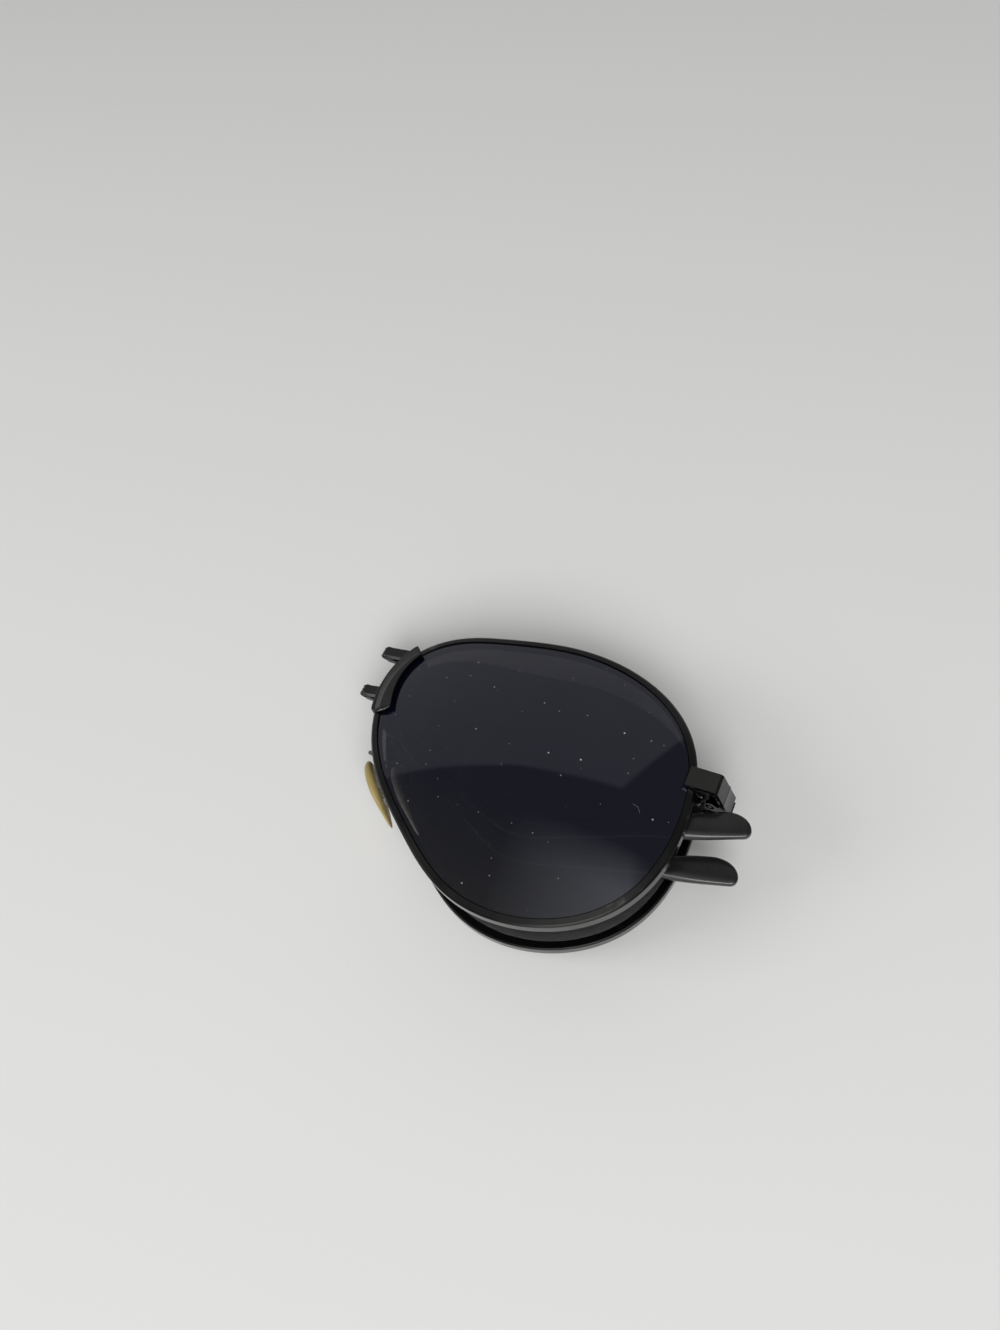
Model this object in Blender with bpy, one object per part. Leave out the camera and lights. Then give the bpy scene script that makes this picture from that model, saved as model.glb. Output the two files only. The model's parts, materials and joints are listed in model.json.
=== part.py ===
"""Folding aviator sunglasses, folded up: the bridge is shut, so the two lens halves lie back to back,
and each temple is jack-knifed in two and tucked behind its own lens.

Each half is drawn once, in a half frame in millimetres, and placed twice.
  x  from the bridge's fold axis out to the temple hinge
  y  up the face
  z  from the lens's front apex back towards the wearer
The right half lies face down, so its half frame is the world's. The left half is its mirror image,
turned about the fold axis by the small wedge that the tucked temples leave between the halves.
"""
import math
from collections import namedtuple

import bmesh
import bpy
import numpy as np
from mathutils import Matrix, Vector

for old in list(bpy.data.objects):
    bpy.data.objects.remove(old, do_unlink=True)

MM = 0.001
CLEAR = 0.3
# Keeps the faces of two united solids from lying in one plane
FACE_STEP = 0.02

# Lenses and rims
LENS_WIDTH = 58.0
LENS_HEIGHT = 47.8
LENS_GAP = 12.0
NOSE_X = LENS_GAP / 2
LENS_CENTRE_X = NOSE_X + LENS_WIDTH / 2
LENS_CENTRE_Y = -9.8
LENS_THICKNESS = 1.8
LENS_CURVE_RADIUS = 88.0
LENS_FOOT_RADIUS = 7.0
LENS_SIDES = 48
# Radius of the lens every 30 degrees from the temple side, as a share of half its width
LENS_SHAPE = (1.0, 0.998, 0.896, 0.819, 0.880, 1.080, 0.927, 0.741, 0.700, 0.798, 0.908, 0.995)
RIM_WIDTH = 1.5
RIM_DEPTH = 2.35
RIM_CHAMFER = 0.3
RIM_SIDES = 60
GROOVE_DEPTH = 0.7
GROOVE_MOUTH = 1.7
GROOVE_FLOOR = 1.0
RIM_SPLIT = 0.4

# Wedge between the halves, and the gap from each temple to the plane halfway between them at the fold
WEDGE_DEG = 3.7
HALF_GAP = 0.2

# Bridge: a bracket along the nose side of each rim, and two hinged bars
BRACKET_FROM_DEG = 148.0
BRACKET_TO_DEG = 173.0
BRACKET_MARGIN_DEG = 10.0
FLANGE_INSET_DEG = 0.7
BRACKET_WIDTH = 0.9
BRACKET_SHORT = 0.6
FLANGE_REACH_TOP = 1.5
FLANGE_REACH_FOOT = 2.5
BRACKET_PROUD = 0.6
BROW_BAR_Y = 6.6
LOWER_BAR_Y = -2.1
BAR_HEIGHT = 1.8
BAR_DEPTH = 1.3
BAR_RISE = 1.2
BAR_END_GAP = 0.15
BRIDGE_KNUCKLE_RADIUS = 0.9
BRIDGE_PIN_RADIUS = 0.3

# End piece, rim lugs and the temple's main hinge
END_PIECE_Y = -2.0
END_PIECE_HEIGHT = 3.4
END_PIECE_THICKNESS = 0.8
END_PIECE_OVERLAP = 1.4
END_REACH = 3.9
END_CORNER_BEVEL = 0.4
END_SPLAY = 1.8
END_PAST_HINGE = 1.9
LUG_WIDTH = 2.5
LUG_DEPTH = 2.2
LUG_INSET = 0.1
RIM_SCREW_RADIUS = 0.42
HINGE_FROM_CORNER = 1.3
HINGE_Y = -2.05
HINGE_HEIGHT = 3.9
HINGE_RADIUS = 1.25
HINGE_SCREW_RADIUS = 0.42
LEAF_THICKNESS = 0.7
LEAF_FRONT = 1.35
LEAF_BACK = 1.45
KNUCKLE_NECK_FRONT = 0.6
SCREW_HEAD_RADIUS = 0.8
SCREW_HEAD_HEIGHT = 0.5

# Temples: front half, rivet, rear half and tip
MID_PIVOT_X = NOSE_X + 4.0
MID_PIVOT_Y = -7.6
RIVET_TO_LENS = 0.95
FRONT_HEIGHT = 4.2
FRONT_END_HEIGHT = 3.8
STRIP_THICKNESS = 0.8
STRIP_BEVEL = 0.3
STRIP_TAPER_START = 8.0
TONGUE_ROOT = 1.0
REAR_SHAFT_HEIGHT = 2.3
REAR_EYE_RADIUS = 2.1
REAR_SHAFT_START = 0.5
RIVET_RADIUS = 0.65
RIVET_HEAD_RADIUS = 1.5
RIVET_HEAD_HEIGHT = 0.5
SHAFT_LENGTH = 30.5
TIP_LENGTH = 38.0
BEND_DEG = 43.5
BEND_RADIUS = 14.0
REAR_RISE = 1.2
REAR_RISE_START = 8.0
SLEEVE_START = 27.0
SLEEVE_LEAD_IN = 1.0
SHOULDER = 0.6
CORE_WIDTH = 1.2
CORE_THICKNESS = 0.7
CORE_LENGTH = 58.0
TIP_THICKNESS = 2.2
TIP_END_THICKNESS = 1.5
TIP_THIN_START = 54.0
TIP_NECK_WIDTH = 2.8
TIP_PADDLE_WIDTH = 4.4
TIP_PADDLE_START = 36.0
TIP_WIDEST_TO_END = 5.0
TIP_END_SHARES = (0.85, 0.5, 0.25, 0.08, 0.0)
TIP_SIDES = 14

# Nose pads on their wire arms
PAD_LENGTH = 13.8
PAD_WIDTH = 6.4
PAD_THICKNESS = 1.5
PAD_SLOPE_DEG = 43.0
PAD_SIDES = 22
CORE_PLATE_LENGTH = 4.8
CORE_PLATE_WIDTH = 2.2
CORE_PLATE_THICKNESS = 0.45
POCKET_DEPTH = 0.75
PAD_LUG = 1.1
PAD_LUG_LENGTH = 1.6
PAD_BOX_HEIGHT = 1.2
PAD_BOX_CHEEK = 0.55
PAD_BOX_LENGTH = 1.8
PAD_BOX_END = 0.9
PAD_SCREW_RADIUS = 0.22
PAD_SCREW_HEAD_RADIUS = 0.5
PAD_SCREW_HEAD_HEIGHT = 0.35
PAD_SCREW_GAP = 0.15
ARM_RADIUS = 0.4
ARM_ROOT_DEG = 192.0

# What differs between the halves. The pads cross the middle plane, so one stands outside the other.
# arm_points are the bends of the pad's wire arm between the rim and the pad box. Both are measured from
# the lens's nose side, the lens's middle height and, for the arm, the fold's depth.
Half = namedtuple("Half", "name sign rear_deg pad_centre arm_points")
RIGHT = Half("right", 1, -27.5, (11.1, -9.6), ((3.3, -4.1, -1.6), (5.6, -3.3, -0.6), (8.6, -3.7, 0.0)))
LEFT = Half("left", -1, -22.0, (6.5, -10.4), ((2.1, -4.1, -1.8), (3.4, -4.0, -0.8), (4.5, -5.1, 0.0)))

BLACK_METAL = ((0.012, 0.012, 0.013), 0.32, 0.9)
BLACK_GLOSS = ((0.008, 0.008, 0.009), 0.16, 0.0)
DARK_STEEL = ((0.10, 0.10, 0.105), 0.35, 1.0)
SMOKE_LENS = ((0.035, 0.04, 0.055), 0.05, 0.0)
AMBER_SILICONE = ((0.55, 0.42, 0.16), 0.3, 0.0)
CLEAR_SILICONE = ((0.62, 0.61, 0.55), 0.25, 0.0)
PLATED_STEEL = ((0.6, 0.58, 0.52), 0.25, 1.0)


# Meshes

def skin(rings, closed=False):
    """A solid through rings of points, with a flat cap at each end unless the rings close on themselves."""
    count = len(rings[0])
    vertices = [Vector(point) for ring in rings for point in ring]
    faces = []
    spans = len(rings) if closed else len(rings) - 1
    for ring in range(spans):
        here = ring * count
        there = (ring + 1) % len(rings) * count
        for side in range(count):
            after = (side + 1) % count
            faces.append((here + side, here + after, there + after, there + side))
    if not closed:
        last = (len(rings) - 1) * count
        faces.append(tuple(range(count)))
        faces.append(tuple(range(last, last + count)))
    mesh = bpy.data.meshes.new("solid")
    mesh.from_pydata(vertices, [], faces)
    shape = bmesh.new()
    shape.from_mesh(mesh)
    bmesh.ops.recalc_face_normals(shape, faces=shape.faces)
    shape.to_mesh(mesh)
    shape.free()
    solid = bpy.data.objects.new("solid", mesh)
    bpy.context.scene.collection.objects.link(solid)
    return solid


def combine(solid, tool, operation):
    """Unite a solid with a tool, or cut the tool from it, and remove the tool."""
    modifier = solid.modifiers.new(operation, "BOOLEAN")
    modifier.operation = operation
    modifier.solver = "EXACT"
    modifier.object = tool
    graph = bpy.context.evaluated_depsgraph_get()
    mesh = bpy.data.meshes.new_from_object(solid.evaluated_get(graph))
    solid.modifiers.clear()
    solid.data = mesh
    bpy.data.objects.remove(tool, do_unlink=True)
    return solid


def unite(solid, *tools):
    for tool in tools:
        combine(solid, tool, "UNION")
    return solid


def cut(solid, *tools):
    for tool in tools:
        combine(solid, tool, "DIFFERENCE")
    return solid


def block(low, high):
    """A box between two corners."""
    (x0, y0, z0), (x1, y1, z1) = low, high
    return skin([[(x0, y0, z), (x1, y0, z), (x1, y1, z), (x0, y1, z)] for z in (z0, z1)])


def rod(start, end, profile, sides=18):
    """A turned piece from start to end; profile holds (share of the length, radius) pairs."""
    start, end = Vector(start), Vector(end)
    along = (end - start).normalized()
    across = along.orthogonal().normalized()
    up = along.cross(across)
    rings = []
    for share, radius in profile:
        centre = start.lerp(end, share)
        angles = [2 * math.pi * side / sides for side in range(sides)]
        rings.append([centre + radius * (math.cos(a) * across + math.sin(a) * up) for a in angles])
    return skin(rings)


def cylinder(start, end, radius, sides=18):
    return rod(start, end, ((0, radius), (1, radius)), sides)


def smooth_path(points, steps):
    """Points along a Catmull-Rom curve through the given ones."""
    given = [Vector(p) for p in points]
    padded = [2 * given[0] - given[1]] + given + [2 * given[-1] - given[-2]]
    path = []
    for index in range(len(given) - 1):
        a, b, c, d = padded[index:index + 4]
        for step in range(steps):
            t = step / steps
            path.append(0.5 * (2 * b + (c - a) * t + (2 * a - 5 * b + 4 * c - d) * t ** 2
                               + (3 * b - a - 3 * c + d) * t ** 3))
    return path + [given[-1]]


def wire(points, radius, sides=8, steps=4):
    """A round wire along a smooth path, its rings kept from twisting."""
    path = smooth_path(points, steps)
    across = (path[1] - path[0]).orthogonal()
    rings = []
    for index, point in enumerate(path):
        along = (path[min(index + 1, len(path) - 1)] - path[max(index - 1, 0)]).normalized()
        across = (across - across.dot(along) * along).normalized()
        up = along.cross(across)
        angles = [2 * math.pi * side / sides for side in range(sides)]
        rings.append([point + radius * (math.cos(a) * across + math.sin(a) * up) for a in angles])
    return skin(rings)


# Outline of the lens

def closed_spline(values):
    """A smooth periodic curve through values at equal steps of a full turn."""
    known = np.array(values)
    count = len(known)
    step = 2 * math.pi / count
    system = 4 * np.eye(count) + np.roll(np.eye(count), 1, 0) + np.roll(np.eye(count), -1, 0)
    bend = np.linalg.solve(system, 6 / step ** 2 * (np.roll(known, 1) - 2 * known + np.roll(known, -1)))

    def value(angle):
        place = angle % (2 * math.pi) / step
        low = int(place) % count
        high = (low + 1) % count
        share = place - int(place)
        rest = 1 - share
        curve = (rest ** 3 - rest) * bend[low] + (share ** 3 - share) * bend[high]
        return rest * known[low] + share * known[high] + curve * step ** 2 / 6

    return value


shape_radius = closed_spline(LENS_SHAPE)
turn = np.radians(np.arange(0, 360, 2))
plain_x = np.array([shape_radius(a) * math.cos(a) for a in turn])
plain_y = np.array([shape_radius(a) * math.sin(a) for a in turn])


def groove_point(angle):
    """A point of the lens outline, which is the floor of the rim's groove."""
    radius = shape_radius(angle)
    x = (radius * math.cos(angle) - (plain_x.max() + plain_x.min()) / 2) / np.ptp(plain_x) * LENS_WIDTH
    y = (radius * math.sin(angle) - (plain_y.max() + plain_y.min()) / 2) / np.ptp(plain_y) * LENS_HEIGHT
    return Vector((LENS_CENTRE_X + x, LENS_CENTRE_Y + y, 0.0))


def outline(angle, offset=0.0):
    """The lens outline moved outwards by offset."""
    nudge = math.radians(0.5)
    along = (groove_point(angle + nudge) - groove_point(angle - nudge)).normalized()
    return groove_point(angle) + offset * Vector((along.y, -along.x, 0.0))


def sag(point):
    """How far the lens's front surface lies behind its apex, below a point of the half frame."""
    square = (point.x - LENS_CENTRE_X) ** 2 + (point.y - LENS_CENTRE_Y) ** 2
    return LENS_CURVE_RADIUS - math.sqrt(LENS_CURVE_RADIUS ** 2 - square)


RIM_OUTER = RIM_WIDTH - GROOVE_DEPTH
RIM_PROUD = (RIM_DEPTH - LENS_THICKNESS) / 2
LENS_EDGE = 0.3

# Depths behind the lens, stacked up from the lens's back under the temple's rivet: the rivet's head,
# the temple's rear half, its front half, and the gap to the other half of the pair
RIVET_TOP = sag(Vector((MID_PIVOT_X, MID_PIVOT_Y, 0.0))) + LENS_THICKNESS + RIVET_TO_LENS
REAR_FRONT = RIVET_TOP + RIVET_HEAD_HEIGHT + CLEAR
REAR_MIDDLE = REAR_FRONT + STRIP_THICKNESS / 2
STRIP_FRONT = REAR_FRONT + STRIP_THICKNESS + CLEAR
STRIP_BACK = STRIP_FRONT + STRIP_THICKNESS
HINGE_DEPTH = (STRIP_FRONT + STRIP_BACK) / 2
FOLD_DEPTH = STRIP_BACK + HALF_GAP
BRACKET_BACK = FOLD_DEPTH - BRACKET_SHORT
END_RETURN_DEPTH = HINGE_DEPTH + END_PAST_HINGE


def rim_front(angle):
    """Depth of the rim's front face; the rim stands proud of the lens by the same amount at both faces."""
    return sag(groove_point(angle)) - RIM_PROUD


def angle_at_height(y, near):
    """The outline's angle, close to near, where the rim's outer edge reaches height y."""
    span = math.radians(25)
    low, high = near - span, near + span
    for _ in range(40):
        middle = (low + high) / 2
        too_high = (outline(middle, RIM_OUTER).y > y) == (math.cos(near) > 0)
        low, high = (low, middle) if too_high else (middle, high)
    return (low + high) / 2


def lens():
    """A curved lens with a bevelled edge and a small flat at its apex, on which the folded pair lies."""
    angles = [2 * math.pi * side / LENS_SIDES for side in range(LENS_SIDES)]
    face_edge = GROOVE_DEPTH + CLEAR

    def ring(share, back):
        points = []
        for angle in angles:
            edge = outline(angle, -face_edge)
            middle = Vector((LENS_CENTRE_X, LENS_CENTRE_Y, 0.0))
            direction = (edge - middle).normalized()
            foot = middle + LENS_FOOT_RADIUS * direction
            point = foot.lerp(edge, share)
            point.z = sag(point) + back
            points.append(point)
        return points

    shares = (0.0, 0.3, 0.6, 0.85, 1.0)
    bevel = []
    for level in (-LENS_EDGE / 2, LENS_EDGE / 2):
        points = [outline(angle, -CLEAR) for angle in angles]
        for point in points:
            point.z = sag(point) + LENS_THICKNESS / 2 + level
        bevel.append(points)
    front = [ring(share, 0.0) for share in shares]
    rear = [ring(share, LENS_THICKNESS) for share in reversed(shares)]
    return skin(front + bevel + rear)


def rim_section(angle):
    """The rim's cross-section: chamfered outside, grooved inside for the lens's bevel."""
    front = rim_front(angle)
    middle = RIM_DEPTH / 2
    inner = -GROOVE_DEPTH
    corners = (
        (RIM_OUTER - RIM_CHAMFER, 0), (RIM_OUTER, RIM_CHAMFER), (RIM_OUTER, RIM_DEPTH - RIM_CHAMFER),
        (RIM_OUTER - RIM_CHAMFER, RIM_DEPTH), (inner, RIM_DEPTH), (inner, middle + GROOVE_MOUTH / 2),
        (0, middle + GROOVE_FLOOR / 2), (0, middle - GROOVE_FLOOR / 2),
        (inner, middle - GROOVE_MOUTH / 2), (inner, 0),
    )
    points = []
    for offset, depth in corners:
        point = outline(angle, offset)
        point.z = front + depth
        points.append(point)
    return points


END_ANGLE = angle_at_height(END_PIECE_Y, math.radians(16))
END_FRONT = rim_front(END_ANGLE) - CLEAR
LUG_FRONT = rim_front(END_ANGLE) + LUG_INSET
LUG_BACK = LUG_FRONT + LUG_DEPTH
RIM_EDGE_X = outline(END_ANGLE, RIM_OUTER).x
END_CORNER_X = RIM_EDGE_X + END_REACH
END_RETURN_X = END_CORNER_X + END_SPLAY
HINGE_X = END_CORNER_X - HINGE_FROM_CORNER
LUG_END_X = RIM_EDGE_X + LUG_WIDTH
RIM_SCREW_X = RIM_EDGE_X + LUG_WIDTH / 2
RIM_SCREW_DEPTH = (LUG_FRONT + LUG_BACK) / 2


def rim():
    """The rim, split at the temple side, with a lug each side of the split for the closing screw."""
    half_gap = RIM_SPLIT / 2 / (LENS_WIDTH / 2)
    start = END_ANGLE + half_gap
    sweep = 2 * math.pi - 2 * half_gap
    ring = skin([rim_section(start + sweep * step / RIM_SIDES) for step in range(RIM_SIDES + 1)])
    half_height = END_PIECE_HEIGHT / 2
    root = RIM_EDGE_X - RIM_WIDTH / 2
    lugs = (
        (END_PIECE_Y + RIM_SPLIT / 2, END_PIECE_Y + half_height),
        (END_PIECE_Y - half_height, END_PIECE_Y - RIM_SPLIT / 2),
    )
    for low, high in lugs:
        unite(ring, block((root, low, LUG_FRONT), (LUG_END_X, high, LUG_BACK)))
    bore_low = (RIM_SCREW_X, END_PIECE_Y - half_height - 1, RIM_SCREW_DEPTH)
    bore_high = (RIM_SCREW_X, END_PIECE_Y + half_height + 1, RIM_SCREW_DEPTH)
    return cut(ring, cylinder(bore_low, bore_high, RIM_SCREW_RADIUS + CLEAR))


def screw(x, low, high, depth, radius, head_at_low):
    """A screw along the face's height, with a low domed head past one of its ends."""
    shank = high - low
    total = shank + CLEAR + SCREW_HEAD_HEIGHT
    head = (shank + CLEAR) / total
    profile = ((0, radius), (head, radius), (head + 0.001, SCREW_HEAD_RADIUS),
               (head + 0.06, SCREW_HEAD_RADIUS), (1, SCREW_HEAD_RADIUS * 0.6))
    if head_at_low:
        return rod((x, high, depth), (x, high - total, depth), profile)
    return rod((x, low, depth), (x, low + total, depth), profile)


def rim_screw():
    half_height = END_PIECE_HEIGHT / 2
    return screw(RIM_SCREW_X, END_PIECE_Y - half_height, END_PIECE_Y + half_height,
                 RIM_SCREW_DEPTH, RIM_SCREW_RADIUS, True)


# Bridge

def bracket_ring(angle, inner, outer, front, back):
    corners = ((inner, front), (outer, front), (outer, back), (inner, back))
    points = []
    for offset, depth in corners:
        point = outline(angle, offset)
        point.z = depth
        points.append(point)
    return points


def bracket_angles(margin=0.0):
    low, high = BRACKET_FROM_DEG - margin, BRACKET_TO_DEG + margin
    steps = 9
    return [math.radians(low + (high - low) * step / steps) for step in range(steps + 1)]


def bridge_bracket():
    """A wall along the nose side of the rim, with a flange that laps over the rim and the lens's edge."""
    inner = RIM_OUTER + CLEAR
    wall = []
    for angle in bracket_angles():
        top = rim_front(angle) - CLEAR - BRACKET_PROUD
        wall.append(bracket_ring(angle, inner, inner + BRACKET_WIDTH, top, BRACKET_BACK))
    flange = []
    angles = bracket_angles(-FLANGE_INSET_DEG)
    for step, angle in enumerate(angles):
        share = step / (len(angles) - 1)
        reach = FLANGE_REACH_TOP + (FLANGE_REACH_FOOT - FLANGE_REACH_TOP) * share
        outer = rim_front(angle) - CLEAR
        over_lens = min(outer, sag(outline(angle, -reach)) - CLEAR)
        ring = bracket_ring(angle, -reach, inner + BRACKET_WIDTH / 2, 0.0, 0.0)
        for point, under in zip(ring, (over_lens, outer, outer, over_lens)):
            point.z = under
        for point in ring[:2]:
            point.z += FACE_STEP - BRACKET_PROUD
        flange.append(ring)
    return unite(skin(wall), skin(flange))


def thirds(centre, height):
    """Three knuckles stacked along the face's height, as (low, high) spans with gaps between them."""
    single = (height - 2 * CLEAR) / 3
    low = centre - height / 2
    return [(low + n * (single + CLEAR), low + n * (single + CLEAR) + single) for n in range(3)]


def bridge_bar(y, outer_knuckles):
    """Half of a bridge bar: it springs from the bracket, sloping back to the knuckles of the fold hinge."""
    spans = thirds(y, BAR_HEIGHT)
    own = (0, 2) if outer_knuckles else (1,)
    front, back = FOLD_DEPTH - BAR_DEPTH, FOLD_DEPTH - BAR_END_GAP
    reach = outline(angle_at_height(y, math.radians(160)), RIM_OUTER).x
    low, high = y - BAR_HEIGHT / 2, y + BAR_HEIGHT / 2
    stations = ((BAR_END_GAP, 0.0), (BRIDGE_KNUCKLE_RADIUS + CLEAR, 0.0), (reach, BAR_RISE))
    bar = skin([[(x, low, front - rise), (x, high, front - rise),
                 (x, high, back - rise), (x, low, back - rise)] for x, rise in stations])
    for index, (low, high) in enumerate(spans):
        if index not in own:
            room = cylinder((0, low - CLEAR, FOLD_DEPTH), (0, high + CLEAR, FOLD_DEPTH),
                            BRIDGE_KNUCKLE_RADIUS + CLEAR)
            cut(bar, room)
    for index in own:
        low, high = spans[index][0] + FACE_STEP, spans[index][1] - FACE_STEP
        unite(bar, cylinder((0, low, FOLD_DEPTH), (0, high, FOLD_DEPTH), BRIDGE_KNUCKLE_RADIUS, 20))
    cut(bar, cylinder((0, y - BAR_HEIGHT, FOLD_DEPTH), (0, y + BAR_HEIGHT, FOLD_DEPTH),
                      BRIDGE_PIN_RADIUS + CLEAR))
    # Everything that lies inside the bracket's wall and its clearance is cut from the bar
    wall = RIM_OUTER + 2 * CLEAR + BRACKET_WIDTH
    envelope = [bracket_ring(angle, -2 * RIM_WIDTH, wall, 0.0, 2 * FOLD_DEPTH)
                for angle in bracket_angles(BRACKET_MARGIN_DEG)]
    return cut(bar, skin(envelope))


def bridge_pin(y):
    half = BAR_HEIGHT / 2
    return cylinder((0, y - half, FOLD_DEPTH), (0, y + half, FOLD_DEPTH), BRIDGE_PIN_RADIUS)


# End piece and temple

def end_piece():
    """A plate over the rim's split that turns the corner and carries the two outer hinge knuckles."""
    front = END_FRONT - END_PIECE_THICKNESS
    start = RIM_EDGE_X - END_PIECE_OVERLAP
    thick = END_PIECE_THICKNESS
    section = [
        (start, END_FRONT), (start, front),
        (END_CORNER_X - END_CORNER_BEVEL, front), (END_CORNER_X, front + END_CORNER_BEVEL),
        (END_RETURN_X, END_RETURN_DEPTH), (END_RETURN_X - thick, END_RETURN_DEPTH),
        (END_CORNER_X - thick, END_FRONT),
    ]
    low, high = END_PIECE_Y - END_PIECE_HEIGHT / 2, END_PIECE_Y + END_PIECE_HEIGHT / 2
    plate = skin([[(x, y, z) for x, z in section] for y in (low, high)])
    spans = thirds(HINGE_Y, HINGE_HEIGHT)
    leaf_x = HINGE_X + HINGE_RADIUS + CLEAR
    leaf = block((leaf_x, spans[0][0], HINGE_DEPTH - LEAF_FRONT),
                 (leaf_x + LEAF_THICKNESS, spans[2][1], HINGE_DEPTH + LEAF_BACK))
    unite(plate, leaf)
    for low, high in (spans[0], spans[2]):
        neck = block((HINGE_X, low + FACE_STEP, HINGE_DEPTH - KNUCKLE_NECK_FRONT),
                     (leaf_x + LEAF_THICKNESS / 2, high - FACE_STEP, HINGE_DEPTH + HINGE_RADIUS))
        barrel = cylinder((HINGE_X, low, HINGE_DEPTH), (HINGE_X, high, HINGE_DEPTH), HINGE_RADIUS, 20)
        unite(plate, unite(barrel, neck))
    low, high = HINGE_Y - HINGE_HEIGHT, HINGE_Y + HINGE_HEIGHT
    bore = cylinder((HINGE_X, low, HINGE_DEPTH), (HINGE_X, high, HINGE_DEPTH), HINGE_SCREW_RADIUS + CLEAR)
    return cut(plate, bore)


def hinge_screw():
    half = HINGE_HEIGHT / 2
    return screw(HINGE_X, HINGE_Y - half, HINGE_Y + half, HINGE_DEPTH, HINGE_SCREW_RADIUS, False)


def temple_front():
    """The front half: a flat strip from the hinge's middle knuckle to the rivet."""
    hinge = Vector((HINGE_X, HINGE_Y, 0.0))
    pivot = Vector((MID_PIVOT_X, MID_PIVOT_Y, 0.0))
    along = (pivot - hinge).normalized()
    across = Vector((-along.y, along.x, 0.0))
    start = HINGE_RADIUS + 1.5 * CLEAR
    length = (pivot - hinge).length
    half = FRONT_HEIGHT / 2
    radius = FRONT_END_HEIGHT / 2
    edge = [(start, -half + STRIP_BEVEL), (start + STRIP_BEVEL, -half), (STRIP_TAPER_START, -half)]
    for step in range(11):
        angle = -math.pi / 2 + math.pi * step / 10
        edge.append((length + radius * math.cos(angle), radius * math.sin(angle)))
    edge += [(STRIP_TAPER_START, half), (start + STRIP_BEVEL, half), (start, half - STRIP_BEVEL)]
    flat = [hinge + u * along + v * across for u, v in edge]
    strip = skin([[Vector((p.x, p.y, z)) for p in flat] for z in (STRIP_FRONT, STRIP_BACK)])
    low, high = thirds(HINGE_Y, HINGE_HEIGHT)[1]
    tongue = block((HINGE_X - start - TONGUE_ROOT, low + FACE_STEP, STRIP_FRONT + FACE_STEP),
                   (HINGE_X, high - FACE_STEP, STRIP_BACK - FACE_STEP))
    barrel = cylinder((HINGE_X, low, HINGE_DEPTH), (HINGE_X, high, HINGE_DEPTH), HINGE_RADIUS, 20)
    unite(strip, unite(barrel, tongue))
    screw_room = cylinder((HINGE_X, low - 1, HINGE_DEPTH), (HINGE_X, high + 1, HINGE_DEPTH),
                          HINGE_SCREW_RADIUS + CLEAR)
    rivet_room = cylinder((pivot.x, pivot.y, STRIP_FRONT - 1), (pivot.x, pivot.y, STRIP_BACK + 1),
                          RIVET_RADIUS + CLEAR)
    return cut(strip, screw_room, rivet_room)


def mid_rivet():
    """The rivet that the temple folds about: domed towards the lens, flush with the front half behind."""
    total = STRIP_BACK - RIVET_TOP
    head = RIVET_HEAD_HEIGHT / total
    dome = ((0, 0.45), (0.45, 0.85), (0.8, 1), (1, 1))
    profile = [(head * share, RIVET_HEAD_RADIUS * spread) for share, spread in dome]
    profile += [(head + 0.001, RIVET_RADIUS), (1, RIVET_RADIUS)]
    return rod((MID_PIVOT_X, MID_PIVOT_Y, RIVET_TOP), (MID_PIVOT_X, MID_PIVOT_Y, STRIP_BACK), profile)


TANGENT = BEND_RADIUS * math.tan(math.radians(BEND_DEG) / 2)
BEND_START = SHAFT_LENGTH - TANGENT
BEND_LENGTH = BEND_RADIUS * math.radians(BEND_DEG)
REAR_LENGTH = BEND_START + BEND_LENGTH + TIP_LENGTH - TANGENT


def rear_place(half, travel):
    """Point and heading on the rear half's centre line, travel millimetres from the rivet."""
    heading = math.radians(half.rear_deg)
    point = Vector((MID_PIVOT_X, MID_PIVOT_Y, REAR_MIDDLE))
    straight = min(travel, BEND_START)
    point += straight * Vector((math.cos(heading), math.sin(heading), 0))
    if travel > BEND_START:
        turned = heading + min((travel - BEND_START) / BEND_RADIUS, math.radians(BEND_DEG))
        point.x += BEND_RADIUS * (math.sin(turned) - math.sin(heading))
        point.y += BEND_RADIUS * (math.cos(heading) - math.cos(turned))
        heading = turned
        beyond = max(travel - BEND_START - BEND_LENGTH, 0)
        point += beyond * Vector((math.cos(heading), math.sin(heading), 0))
    point.z += REAR_RISE * max(travel - REAR_RISE_START, 0) / (REAR_LENGTH - REAR_RISE_START)
    return point, heading


def rear_ring(half, travel, corners):
    """A cross-section of the rear half; corners hold (across, depth) pairs."""
    point, heading = rear_place(half, travel)
    across = Vector((-math.sin(heading), math.cos(heading), 0))
    return [point + u * across + Vector((0, 0, w)) for u, w in corners]


def flat_corners(width, thickness):
    u, w = width / 2, thickness / 2
    nick = min(u, w) * 0.35
    return [(-u + nick, -w), (u - nick, -w), (u, -w + nick), (u, w - nick),
            (u - nick, w), (-u + nick, w), (-u, w - nick), (-u, -w + nick)]


def travels(start, end, steps):
    return [start + (end - start) * step / steps for step in range(steps + 1)]


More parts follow.
